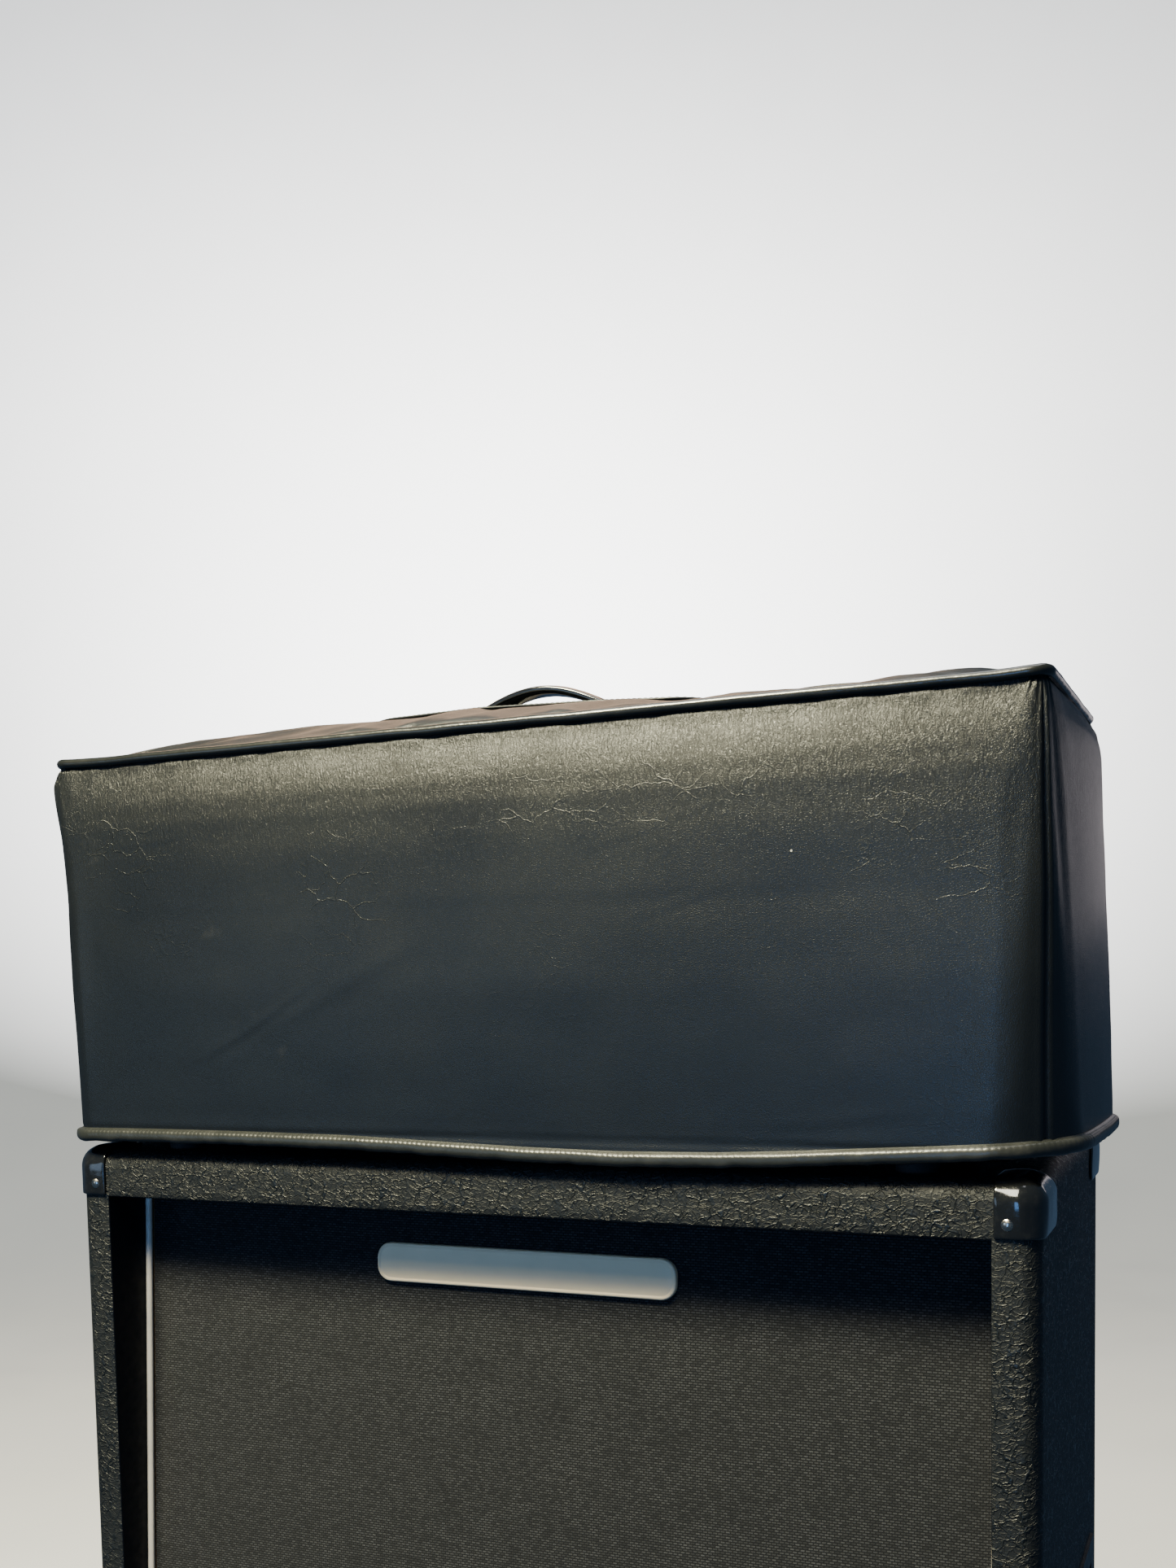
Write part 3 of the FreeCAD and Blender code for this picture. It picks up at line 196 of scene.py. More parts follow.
def apply_modifiers(obj):
    """Puts the mesh with its modifiers applied back on the object."""
    graph = bpy.context.evaluated_depsgraph_get()
    mesh = bpy.data.meshes.new_from_object(obj.evaluated_get(graph))
    obj.modifiers.clear()
    old, obj.data = obj.data, mesh
    bpy.data.meshes.remove(old)


def table_value(table, x):
    """The value at x in a table of (x, value) pairs."""
    xs, ys = zip(*table)
    return float(np.interp(x, xs, ys))


# ---- material helpers
class Shader:
    """A Principled material whose colour, roughness and bump come from small procedural parts."""

    def __init__(self, name, color, roughness, metallic=0.0, coat=0.0, specular=0.5):
        self.material = bpy.data.materials.new(name)
        self.material.use_nodes = True
        self.material.diffuse_color = (*color, 1)
        self.tree = self.material.node_tree
        self.shader = self.tree.nodes["Principled BSDF"]
        self.feed(
            self.shader, Base_Color=(*color, 1), Roughness=roughness, Metallic=metallic,
            Coat_Weight=coat, Coat_Roughness=0.08, Specular_IOR_Level=specular,
        )
        self.color, self.shown, self.normal = color, None, None
        coordinates = self.node("ShaderNodeTexCoord")
        self.place = coordinates.outputs["Object"]
        self.uv = coordinates.outputs["UV"]

    def node(self, kind, **settings):
        made = self.tree.nodes.new(kind)
        for key, value in settings.items():
            setattr(made, key, value)
        return made

    def link(self, source, target):
        self.tree.links.new(source, target)

    def feed(self, made, **inputs):
        """Sets a node's inputs by name, as numbers or links; an underscore stands for a space."""
        for key, value in inputs.items():
            socket = made.inputs[key.replace("_", " ")]
            if isinstance(value, bpy.types.NodeSocket):
                self.link(value, socket)
            else:
                socket.default_value = value
        return made

    def scaled(self, factors, source=None):
        made = self.feed(self.node("ShaderNodeMapping"), Scale=factors, Vector=source or self.place)
        return made.outputs["Vector"]

    def noise(self, scale, detail=3, roughness=0.5, distortion=0.0, vector=None, output="Fac"):
        made = self.feed(
            self.node("ShaderNodeTexNoise"),
            Scale=scale, Detail=detail, Roughness=roughness, Distortion=distortion,
            Vector=vector or self.place,
        )
        return made.outputs[output]

    def cells(self, scale, feature="F1", vector=None):
        return self.feed(self.node("ShaderNodeTexVoronoi", feature=feature), Scale=scale,
                         Vector=vector or self.place)

    def net(self, scale, width, vector, on_line=1.0, off_line=0.0):
        """Soft lines along the borders of cells."""
        borders = self.cells(scale, "DISTANCE_TO_EDGE", vector).outputs["Distance"]
        return self.spread(borders, 0.0, width, on_line, off_line)

    def wandering(self, scale, detail, reach):
        """Coordinates for a net that wanders by a noise of that reach in metres and is wider than tall."""
        small = self.feed(self.node("ShaderNodeVectorMath", operation="SCALE"), Scale=reach)
        self.link(self.noise(scale, detail, output="Color"), small.inputs[0])
        bent = self.node("ShaderNodeVectorMath", operation="ADD")
        self.link(self.place, bent.inputs[0])
        self.link(small.outputs[0], bent.inputs[1])
        return self.scaled((1.0, 1.0, 1.5), bent.outputs[0])

    def math(self, operation, *values):
        made = self.node("ShaderNodeMath", operation=operation)
        for socket, value in zip(made.inputs, values):
            if isinstance(value, (int, float)):
                socket.default_value = value
            else:
                self.link(value, socket)
        return made.outputs[0]

    def times(self, a, b):
        return self.math("MULTIPLY", a, b)

    def spread(self, value, low_in, high_in, low_out=0.0, high_out=1.0, smooth=True):
        """Maps a value from one range to another, held at both ends."""
        made = self.feed(
            self.node("ShaderNodeMapRange", interpolation_type="SMOOTHSTEP" if smooth else "LINEAR"),
            From_Min=low_in, From_Max=high_in, To_Min=low_out, To_Max=high_out, Value=value,
        )
        return made.outputs["Result"]

    def tint(self, factor, other):
        """Mixes the colour so far towards other, where factor is 1."""
        made = self.feed(
            self.node("ShaderNodeMix", data_type="RGBA"),
            Factor=factor, A=self.shown or (*self.color, 1), B=(*other, 1),
        )
        self.shown = made.outputs["Result"]
        self.feed(self.shader, Base_Color=self.shown)

    def rough(self, value):
        self.feed(self.shader, Roughness=value)

    def bump(self, height, distance):
        """Adds a bump of that height in metres on top of the earlier ones."""
        made = self.feed(self.node("ShaderNodeBump"), Distance=distance, Height=height)
        if self.normal:
            self.feed(made, Normal=self.normal)
        self.normal = made.outputs["Normal"]
        self.feed(self.shader, Normal=self.normal)

    def worn(self, color, amount=0.5, scale=60.0):
        """Colour drift and light dust or wear in patches."""
        self.tint(self.spread(self.noise(scale, 4, 0.6), 0.45, 0.75, 0.0, amount), color)


def simple(name, color, roughness, metallic=0.0, other=None, amount=0.5, grain=900.0, depth=0.00005,
           patch=60.0, **more):
    """A finish with colour drift, uneven gloss and fine grain."""
    made = Shader(name, color, roughness, metallic, **more)
    made.worn(other or tuple(c * 1.6 for c in color), amount, patch)
    gloss = made.noise(patch * 2.3, 4)
    made.rough(made.spread(gloss, 0.3, 0.75, roughness * 0.8, min(roughness * 1.25, 1), False))
    made.bump(made.noise(grain), depth)
    return made.material


def textured_covering():
    """Coarse elephant-grained vinyl: glossy wandering ridges round small flat cells, uneven in height, with a
    painted highlight on the ridges.
    """
    made = Shader("textured_covering", (0.0042, 0.0054, 0.0064), 0.5, specular=0.42)
    place = made.wandering(130.0, 2.0, 0.0085)
    ridge = made.net(100.0, 0.11, place)
    crossing = made.net(215.0, 0.13, place)
    relief = made.math("MAXIMUM", ridge, made.times(crossing, 0.6))
    uneven = made.spread(made.noise(110.0), 0.36, 0.62, 0.4, 1.0)
    relief = made.times(relief, uneven)
    # painted highlight: the ridges are tinted lighter, standing in for light glinting on them
    made.tint(made.times(relief, 0.7), (0.0066, 0.0082, 0.0094))
    made.worn((0.010, 0.012, 0.014), 0.5, 9.0)
    made.rough(made.spread(relief, 0.0, 1.0, 0.62, 0.34, False))
    made.bump(relief, 0.0006)
    made.bump(made.noise(900.0), 0.00012)
    return made.material


def cover_vinyl():
    """Satin charcoal vinyl: fine grain, wrinkled near the welt, with thin creases, a few specks of lint and a
    painted bluish shade towards the hem.
    """
    made = Shader("cover_vinyl", (0.0046, 0.0052, 0.0053), 0.34, specular=0.5)
    height = made.feed(made.node("ShaderNodeSeparateXYZ"), Vector=made.place).outputs["Z"]

    pebble = made.net(900.0, 0.16, made.scaled((1.0, 1.0, 0.75)), 0.0, 1.0)
    lines = made.net(34.0, 0.028, made.wandering(20.0, 4.0, 0.05))
    where = made.spread(made.noise(11.0, 3, 0.6), 0.46, 0.66)
    upper = made.spread(height, 0.88, 1.02, 0.25, 1.0)
    creases = made.times(made.times(lines, where), upper)
    wrinkle = made.noise(1.0, 4.0, 0.62, 1.2, made.scaled((470, 470, 130)))
    near_welt = made.spread(height, 0.935, 1.072, 0.12, 1.0)
    on_wall = made.spread(height, 1.078, 1.086, 1.0, 0.35)
    gathered = made.times(made.times(near_welt, on_wall), wrinkle)

    cloudy = made.noise(5.0, 5, 0.6)
    made.tint(made.spread(cloudy, 0.35, 0.7, 0.0, 0.8), (0.0090, 0.0098, 0.0092))
    # painted shade: the vinyl is darkened and tinted blue towards the hem, standing in for shade and a blue
    # reflection there
    lower = made.spread(height, 0.78, 1.02, 1.0, 0.0)
    made.tint(made.times(lower, 0.6), (0.0026, 0.0045, 0.0078))
    scuff = made.spread(made.noise(19.0, 4, 0.65), 0.66, 0.78, 0.0, 0.4)
    made.tint(scuff, (0.020, 0.020, 0.019))

    lint = made.cells(26.0)
    speck = made.math("LESS_THAN", lint.outputs["Distance"], 0.028)
    one_channel = made.feed(made.node("ShaderNodeSeparateColor"), Color=lint.outputs["Color"]).outputs[0]
    seldom = made.math("GREATER_THAN", one_channel, 0.93)
    made.tint(made.times(speck, seldom), (0.45, 0.44, 0.40))

    made.rough(made.spread(made.noise(7.0, 5, 0.6), 0.3, 0.7, 0.32, 0.38, False))
    made.bump(pebble, 0.00005)
    made.bump(made.noise(1500.0, 2), 0.00004)
    made.bump(creases, 0.00016)
    made.bump(gathered, 0.0007)
    return made.material


def grille_weave():
    """Black cloth with pale level dashes, staggered row by row and uneven in brightness."""
    made = Shader("grille_cloth", (0.0035, 0.0042, 0.006), 0.85, specular=0.25)
    made.feed(made.shader, Sheen_Weight=0.05)
    rows = made.feed(
        made.node("ShaderNodeTexBrick", offset=0.5, offset_frequency=2), Vector=made.uv, Scale=1000.0,
        Mortar_Size=0.48, Mortar_Smooth=0.35, Brick_Width=3.8, Row_Height=1.9,
        Color1=(1, 1, 1, 1), Color2=(0.25, 0.25, 0.25, 1), Mortar=(0, 0, 0, 1),
    )
    grey = made.feed(made.node("ShaderNodeSeparateColor"), Color=rows.outputs["Color"]).outputs[0]
    uneven = made.spread(made.noise(520.0, 3, 0.7, 0, made.uv), 0.36, 0.64, 0.6, 1.0)
    broad = made.spread(made.noise(24.0, 4, 0.6, 0, made.uv), 0.3, 0.7, 0.75, 1.0)
    made.tint(made.times(made.times(grey, uneven), broad), (0.058, 0.060, 0.066))
    made.bump(grey, 0.0004)
    made.bump(made.noise(4000.0, 2, 0.5, 0, made.uv), 0.0001)
    return made.material


def piping_vinyl():
    made = Shader("white_piping", (0.90, 0.81, 0.70), 0.35)
    made.worn((0.6, 0.57, 0.52), scale=45.0)
    made.bump(made.noise(700.0), 0.00006)
    return made.material


def bound_vinyl():
    """The cover's edge binding: vinyl of its own, uneven where it is folded over."""
    made = Shader("cover_trim", (0.017, 0.0182, 0.0165), 0.33)
    made.worn((0.040, 0.040, 0.037), 0.6, 30.0)
    made.bump(made.noise(1400.0, 2), 0.00005)
    made.bump(made.noise(90.0), 0.0005)
    return made.material


def corded_vinyl():
    """The welt's vinyl, pulled tight over its cord."""
    made = Shader("cover_welt", (0.010, 0.0108, 0.0100), 0.27, coat=0.2)
    made.worn((0.022, 0.022, 0.020), 0.6, 30.0)
    made.bump(made.noise(110.0), 0.0004)
    made.bump(made.noise(1400.0, 2), 0.00004)
    return made.material


def guard_plastic():
    made = Shader("black_plastic", (0.006, 0.0065, 0.0075), 0.12, coat=0.5)
    made.worn((0.018, 0.018, 0.018), 0.4, 150.0)
    scratch = made.noise(1.0, 4, 0.7, 0.0, made.scaled((1800, 300, 1100)))
    made.rough(made.spread(scratch, 0.45, 0.75, 0.09, 0.3))
    made.bump(made.noise(55.0, 2), 0.0005)
    made.bump(made.noise(900.0, 2), 0.00002)
    return made.material


def bright_plating():
    made = Shader("nickel", (0.52, 0.47, 0.40), 0.22, 1.0)
    made.worn((0.25, 0.2, 0.13), scale=400.0)
    made.rough(made.spread(made.noise(900.0, 4, 0.7), 0.35, 0.7, 0.154, 0.374, False))
    made.bump(made.noise(2200.0, 2), 0.00002)
    return made.material


def brushed(name, color, roughness=0.34):
    """Metal with fine hairs that run from left to right."""
    made = Shader(name, color, roughness, 1.0)
    hair = made.noise(1.0, 4, 0.65, 0.0, made.scaled((20, 900, 900)))
    made.tint(made.spread(hair, 0.35, 0.7, 0.0, 0.35), tuple(c * 0.62 for c in color))
    made.rough(made.spread(hair, 0.3, 0.7, roughness * 0.8, roughness * 1.3, False))
    made.bump(hair, 0.00003)
    return made.material


def grained_wood():
    made = Shader("plywood", (0.30, 0.19, 0.10), 0.62)
    grain = made.noise(1.0, 5, 0.65, 0.6, made.scaled((18, 160, 160)))
    made.tint(made.spread(grain, 0.35, 0.65, 0.0, 0.8), (0.17, 0.10, 0.05))
    made.rough(made.spread(grain, 0.3, 0.7, 0.52, 0.75, False))
    made.bump(grain, 0.00015)
    return made.material


def smeared_glass():
    made = Shader("valve_glass", (0.95, 0.97, 0.96), 0.03)
    made.feed(made.shader, Transmission_Weight=0.92, IOR=1.47)
    smear = made.noise(140.0, 4)
    made.tint(made.spread(smear, 0.55, 0.8, 0.0, 0.5), (0.55, 0.55, 0.55))
    made.rough(made.spread(smear, 0.4, 0.8, 0.02, 0.09, False))
    return made.material


def pressed_paper():
    made = Shader("paper_cone", (0.020, 0.019, 0.018), 0.9, specular=0.2)
    fibres = made.noise(1.0, 5, 0.75, 0.8, made.scaled((260, 900, 260)))
    made.tint(made.spread(fibres, 0.4, 0.75, 0.0, 0.6), (0.055, 0.052, 0.048))
    made.bump(fibres, 0.0003)
    return made.material


covering = textured_covering()
inner_paint = simple("inner_wall_paint", (0.0008, 0.0028, 0.0075), 0.6, specular=0.2,
    other=(0.003, 0.004, 0.007), grain=700.0)
dust_vinyl = cover_vinyl()
trim = bound_vinyl()
corded = corded_vinyl()
weave = grille_weave()
cream = piping_vinyl()
glossy_black = guard_plastic()
badge_white = simple("badge", (0.95, 0.77, 0.52), 0.4, other=(0.87, 0.70, 0.47), amount=0.35, depth=0.00001)
thread = simple("thread", (0.030, 0.030, 0.028), 0.8, other=(0.07, 0.07, 0.065), grain=5000.0, depth=0.0001)
paint_white = simple("marking_paint", (0.70, 0.69, 0.66), 0.5, other=(0.5, 0.5, 0.48), grain=3000.0,
    depth=0.00002)


# ---- camera, light and floor
def set_camera():
    place = (0.5084, -1.1509, 0.8997)
    yaw, pitch, roll = (math.radians(a) for a in (23.88, -3.98, -1.13))
    ahead = Vector((-math.sin(yaw) * math.cos(pitch), math.cos(yaw) * math.cos(pitch), math.sin(pitch)))
    right = Vector((math.cos(yaw), math.sin(yaw), 0))
    up = right.cross(ahead)
    level = math.cos(roll) * right + math.sin(roll) * up
    upright = -math.sin(roll) * right + math.cos(roll) * up
    turn = Matrix((level, upright, -ahead)).transposed().to_4x4()
    data = bpy.data.cameras.new("camera")
    data.lens, data.sensor_width, data.sensor_fit = 35.0, 36.0, "AUTO"
    data.shift_y = 0.192
    data.clip_start, data.clip_end = 0.02, 60
    camera = bpy.data.objects.new("camera", data)
    bpy.context.scene.collection.objects.link(camera)
    camera.matrix_world = Matrix.Translation(place) @ turn
    bpy.context.scene.camera = camera


def area_light(name, place, target, width, height, power, color):
    data = bpy.data.lights.new(name, "AREA")
    data.shape, data.size, data.size_y = "RECTANGLE", width, height
    data.energy, data.color = power, color
    light = bpy.data.objects.new(name, data)
    bpy.context.scene.collection.objects.link(light)
    light.visible_camera = False
    light.location = place
    light.rotation_euler = (Vector(target) - Vector(place)).to_track_quat("-Z", "Y").to_euler()


# name, place, target, width and height in metres, power in watts, colour
LIGHTS = (
    ("key", (0.05, -1.75, 2.75), (0.0, -0.15, 0.85), 0.5, 0.45, 22, (1.0, 0.93, 0.76)),
    ("soft_left", (-0.55, -1.35, 2.7), (0.0, -0.15, 0.95), 0.6, 0.5, 240, (1.0, 0.94, 0.62)),
    ("cool_front", (0.12, -3.3, 0.75), (0.3, -0.1, 0.85), 0.6, 1.0, 13, (0.17, 0.44, 1.0)),
    ("cool_left", (-1.9, -3.0, 1.0), (-0.2, -0.1, 0.9), 1.2, 1.2, 10, (0.50, 0.72, 1.0)),
    ("warm_back", (-1.3, 2.2, 2.5), (0.0, -0.1, 1.1), 2.0, 1.0, 17, (1.0, 0.64, 0.38)),
    ("side_right", (0.95, 2.6, 1.3), (0.4, 0.0, 1.0), 1.2, 0.5, 1.8, (1.0, 0.88, 0.86)),
    ("back_glow", (-1.7, 3.3, 2.5), (-2.7, 6.2, 3.6), 1.4, 1.4, 760, (1.0, 1.0, 1.0)),
    ("front_glow", (0.0, -3.0, 3.2), (0.0, -7.0, 1.5), 3.0, 2.0, 600, (1.0, 1.0, 1.0)),
    ("floor_wash", (0.0, 0.5, 5.8), (0.0, 0.5, 0.0), 4.0, 4.0, 200, (0.98, 0.98, 1.0)),
)


def make_studio():
    """A pale floor that curves up into a pale wall all round, open above, under soft lights."""
    floor, rise, wall, below_feet = 3.2, 3.6, 6.5, 0.0002
    floor_rings, curve_rings, around = 6, 12, 96
    rows = [(floor * k / floor_rings, 0.0) for k in range(1, floor_rings + 1)]
    for k in range(1, curve_rings + 1):
        a = math.pi / 2 * k / curve_rings
        rows.append((floor + rise * math.sin(a), rise * (1 - math.cos(a))))
    rows.append((floor + rise, wall))
    points = [[(x / MM, y / MM, (z - below_feet) / MM) for x, y in disc(r, around)] for r, z in rows]
    faces = strip_faces(len(rows), around, True)
    faces.append(row_face(0, around)[::-1])
    pale = simple("studio_floor", (0.80, 0.80, 0.79), 0.7, other=(0.76, 0.76, 0.76), amount=0.3,
                  grain=40.0, patch=1.5)
    bowl = piece("studio_floor", points, faces, [pale], None)
    bowl.visible_glossy = bowl.visible_diffuse = False
    world = bpy.data.worlds.new("studio")
    world.use_nodes = True
    sky = world.node_tree.nodes["Background"]
    sky.inputs["Color"].default_value = (0.34, 0.60, 1.0, 1)
    sky.inputs["Strength"].default_value = 0.13
    bpy.context.scene.world = world
    for light in LIGHTS:
        area_light(*light)


set_camera()
make_studio()


# ---- wooden shells in their covering
def make_shell(name, body, box_nodes, edge, opening, mouth_back, replaced, wall_from):
    """A board box in one covering: rounded outer edges, flat front and back rims, plain inner walls.

    opening and mouth_back are the half width, bottom and top of the box's front and back openings.
    """
    lip, back_rim, tight, plain = 1.2, 18.0, 0.6, 1.0
    turn_steps, side_steps = 10, 13
    _, front, bottom = low(box_nodes[0])
    half_x, back, top = high(box_nodes[1])
    half_z, middle_z = (top - bottom) / 2, (top + bottom) / 2
    inner_x, inner_bottom, inner_top = opening
    inner_half_z, inner_z = (inner_top - inner_bottom) / 2, (inner_top + inner_bottom) / 2
    back_x, back_half = mouth_back[0], (mouth_back[2] - mouth_back[1]) / 2
    rows = []

    def row(ix, iz, y, radius, share_of_outer=1.0):
        z = inner_z + (middle_z - inner_z) * share_of_outer
        rows.append([(x, y, h) for x, h in rounded_loop(ix, iz, radius, 48, 48, 8, (0, z))])

    def edge_row(k, face, sign):
        a = math.pi / 2 * k / turn_steps
        r = edge * math.sin(a)
        row(half_x - edge + r, half_z - edge + r, face + sign * edge * (1 - math.cos(a)), max(r, plain))

    for y in (wall_from, front + 24, front + 6, front + 2 * lip, front + lip):
        row(inner_x, inner_half_z, y, tight, 0)
    inner_rows = len(rows)
    row(inner_x + 0.3 * lip, inner_half_z + 0.3 * lip, front + 0.3 * lip, tight, 0)
    row(inner_x + lip, inner_half_z + lip, front, 0.8, 0)
    for t in (0.25, 0.5, 0.75):
        rim_x = inner_x + lip + (half_x - edge - inner_x - lip) * t
        row(rim_x, inner_half_z + lip + (half_z - edge - inner_half_z - lip) * t, front, plain, t)
    for k in range(turn_steps + 1):
        edge_row(k, front, 1)
    for k in range(1, side_steps):
        row(half_x, half_z, front + edge + (back - front - 2 * edge) * k / side_steps, edge)
    for k in range(turn_steps, -1, -1):
        edge_row(k, back, -1)
    outer_end = len(rows) + 1
    for y in (back, back - 2, back - back_rim):
        row(back_x, back_half, y, plain)
    row(inner_x, inner_half_z, back - back_rim, tight, 0)
    columns = len(rows[0])
    finish = [0 if inner_rows <= i < outer_end else 1 for i in range(len(rows)) for _ in range(columns)]
    faces = strip_faces(len(rows), columns, True, True)
    shell = piece(name, rows, faces, [covering, inner_paint], body, finish)
    shell.data.flip_normals()
    shell.data.set_sharp_from_angle(angle=math.radians(SHARP_FOLD))
    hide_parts(*replaced)
    return shell


# half width, bottom and top
CAB_OPENING, CAB_BACK_OPENING = (353.4, 50.0, 730.0), (366.0, 30.0, 750.0)
HEAD_OPENING = (355.0, 795.0, 1059.0)

cab = make_shell(
    "cabinet_covering", "cabinet", ("cab_bottom_board", "cab_top_board"), 14.0,
    CAB_OPENING, CAB_BACK_OPENING,
    ("cab_top_board", "cab_bottom_board", "cab_side_boards", "frame_battens"), -110.0,
)


def cut_cups(shell):
    """Openings for the two carrying cups."""
    half_y, half_z, radius = 89.0, 48.0, 20
    loop = rounded_loop(half_y, half_z, radius, 4, 4, 8, middle("side_handles")[1:])
    rows = [[(x, y, z) for y, z in loop] for x in (-400, -330, 330, 400)]
    columns = len(loop)
    faces = []
    for first in (0, 2):
        faces += [tuple(v + first * columns for v in face) for face in strip_faces(2, columns, True)]
        faces += [row_face(first, columns)[::-1], row_face(first + 1, columns)]
    cutter = piece("cup_cutter", rows, faces, [inner_paint], None)
    cut = shell.modifiers.new("cups", "BOOLEAN")
    cut.object, cut.operation, cut.solver = cutter, "DIFFERENCE", "EXACT"
    apply_modifiers(shell)
    bpy.data.objects.remove(cutter, do_unlink=True)
    shell.data.set_sharp_from_angle(angle=math.radians(SHARP_FOLD))


cut_cups(cab)

make_shell(
    "head_covering", "head", ("head_bottom_board", "head_top_board"), 12.0,
    HEAD_OPENING, HEAD_OPENING,
    ("head_top_board", "head_bottom_board", "head_side_boards"), -60.0,
)

# ---- grille cloth, piping and badge
CLOTH_BREAK = 385.0
CLOTH_FRONT = low("grille_cloth")[1]
LEAN = math.tan(math.radians(2.8))


def cloth_y(z):
    """The stretched cloth's front face: upright below the break, leaning back above it."""
    bend = 6.0
    over = z - CLOTH_BREAK
    if over < -bend:
        return CLOTH_FRONT
    if over < bend:
        return CLOTH_FRONT + LEAN * (over + bend) ** 2 / (4 * bend)
    return CLOTH_FRONT + LEAN * over


def make_cloth():
    """The cloth pulled a little unevenly over its boards and tucked in at its edges."""
    across, upward = 90, 96
    uneven, patch, tuck_width, tuck_slope = 0.35, 70, 3.0, 0.3
    half, _, top = high("grille_cloth")
    bottom = low("grille_cloth")[2]
    points, cut = [], []
    for i in range(upward + 1):
        z = bottom + (top - bottom) * i / upward
        for j in range(across + 1):
            x = -half + 2 * half * j / across
            pull = uneven * drift(x / patch, z / patch, 3.1)
            tuck = max(0.0, tuck_width - min(half - abs(x), z - bottom, top - z)) * tuck_slope
            points.append((x, cloth_y(z) + pull + tuck, z))
            cut.append(((x + half) * MM, (z - bottom) * MM))
    cloth = piece("grille_cloth_woven", points, strip_faces(upward + 1, across + 1, False), [weave],
                  "cabinet")
    write_uv(cloth, cut)
    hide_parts("grille_cloth")


def make_piping():
    """Round vinyl piping all round the cloth."""
    tube, gap, radius, sunk = 2.75, 0.1, 5.0, 0.4
    inset = tube + gap
    half_x, bottom, top = CAB_OPENING
    half_z, middle_z = (top - bottom) / 2 - inset, (top + bottom) / 2
    loop = rounded_loop(half_x - inset, half_z, radius, 40, 60, 8, (0, middle_z))
    path = [(x, cloth_y(z) - tube + sunk, z) for x, z in loop]
    pipe = sweep("grille_piping_tube", path, disc(tube, 16), cream, "cabinet", (0, 1, 0))
    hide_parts("grille_piping")


def make_badge():
    """A plain rounded plate with a slightly domed face and a fine rim."""
    proud, radius = 4.4, 12.0
    # inset from the outline and sink below the highest rim
    steps = ((0, 4.6), (0, 1.3), (0.35, 0.6), (1.0, 0.2), (2.2, 0.2), (2.6, 0.7), (3.1, 0.7), (4.5, 0.45),
             (8.0, 0.2), (12.0, 0.1))
    middle_x, _, middle_z = middle("blank_badge")
    half_x, half_z = high("blank_badge")[0] - middle_x, high("blank_badge")[2] - middle_z
    rows = []
    for inset, sink in steps:
        centre = (middle_x, middle_z)
        loop = rounded_loop(half_x - inset, half_z - inset, radius - inset * 0.8, 24, 4, 8, centre)
        rows.append([(x, cloth_y(z) - proud + sink, z) for x, z in loop])
    columns = len(rows[0])
    faces = strip_faces(len(rows), columns, True)
    faces.append(row_face(len(rows) - 1, columns))
    badge = piece("blank_badge_plate", rows, faces, [badge_white], "cabinet")
    badge.data.flip_normals()
    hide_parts("blank_badge")


def make_guards():
    """The cabinet's corner guards as moulded: rims rolled over and each face slightly domed."""
    cell, rounds, guard_size = 0.9, 5, (32.0, 69.0, 40.0)
    skin, skin_fade, dome_height, dome_zero = 0.2, 1.6, 1.5, 0.35
    source = nodes["cab_corners"]
    guards = source.copy()
    guards.data = source.data.copy()
    guards.name = "corner_guards_moulded"
    bpy.context.scene.collection.objects.link(guards)
    guards.parent = None
    guards.matrix_world = source.matrix_world.copy()
    grid = guards.modifiers.new("grid", "REMESH")
    grid.mode, grid.voxel_size = "VOXEL", cell * MM
    relax = guards.modifiers.new("relax", "SMOOTH")
    relax.factor, relax.iterations = 0.5, rounds
    apply_modifiers(guards)
    spots = vertex_places(guards.data)
    away = spots - np.array(middle("cab_corners"))
    depth = np.array(high("cab_corners")) - np.array(middle("cab_corners")) - np.abs(away)
    for axis in range(3):
        on_face = np.clip(1 - (depth[:, axis] - skin) / skin_fade, 0, 1)
        dome = np.ones(len(spots))
        for k in {0, 1, 2} - {axis}:
            dome *= np.clip(1 - (2 * depth[:, k] / guard_size[k] - 1) ** 2, 0, 1)
        spots[:, axis] += np.sign(away[:, axis]) * on_face * (dome - dome_zero) * dome_height
    guards.data.vertices.foreach_set("co", (spots * MM).ravel())
    shade_smooth(guards.data)
    guards.data.materials.clear()
    guards.data.materials.append(glossy_black)
    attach(guards, "cabinet")
    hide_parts("cab_corners")


make_cloth()
make_piping()
make_badge()
make_guards()

# ---- dust cover
COVER_BOTTOM, COVER_TOP, HALF_WIDTH = 774.0, 1081.0, 388.0
SLOT_HALF, SLOT_WIDE, SLOT_Y = 135.0, 25.0, -71.0
COVER_FRONT, COVER_BACK = -181.0, 41.0
MIDDLE_Y = (COVER_FRONT + COVER_BACK) / 2
HALF_DEPTH = (COVER_BACK - COVER_FRONT) / 2
# how far out each upright edge hangs at each height
LEFT_EDGE = [(774, 384), (795, 384), (843, 385), (975, 389.5), (1020, 394.5), (1050, 399.0), (1066, 399.5),
             (1075, 395.0), (1081, 388.5)]
RIGHT_FRONT = [(774, 400.5), (795, 398.5), (845, 396.9), (944, 395.8), (1042, 392.3), (1081, 388.5)]
RIGHT_BACK = [(774, 411), (785, 411), (893, 408.5), (1012, 404.5), (1055, 403), (1071, 399.0), (1081, 391.5)]
LEFT_BACK = [(774, 386), (893, 388), (1012, 390), (1071, 390), (1081, 388)]
# how far the long walls and the end walls stand out at each height
FRONT_BULGE = [(774, 3.5), (795, 3.7), (850, 7.0), (900, 9.8), (960, 11.6), (1000, 11.8), (1028, 10.8),
               (1046, 8.8), (1058, 6.2), (1067, 3.4), (1074, 0.9), (1081, -1.5)]
SIDE_BULGE = [(774, 4.0), (850, 6.0), (1000, 7.5), (1060, 6.5), (1074, 4.5), (1081, 1.0)]
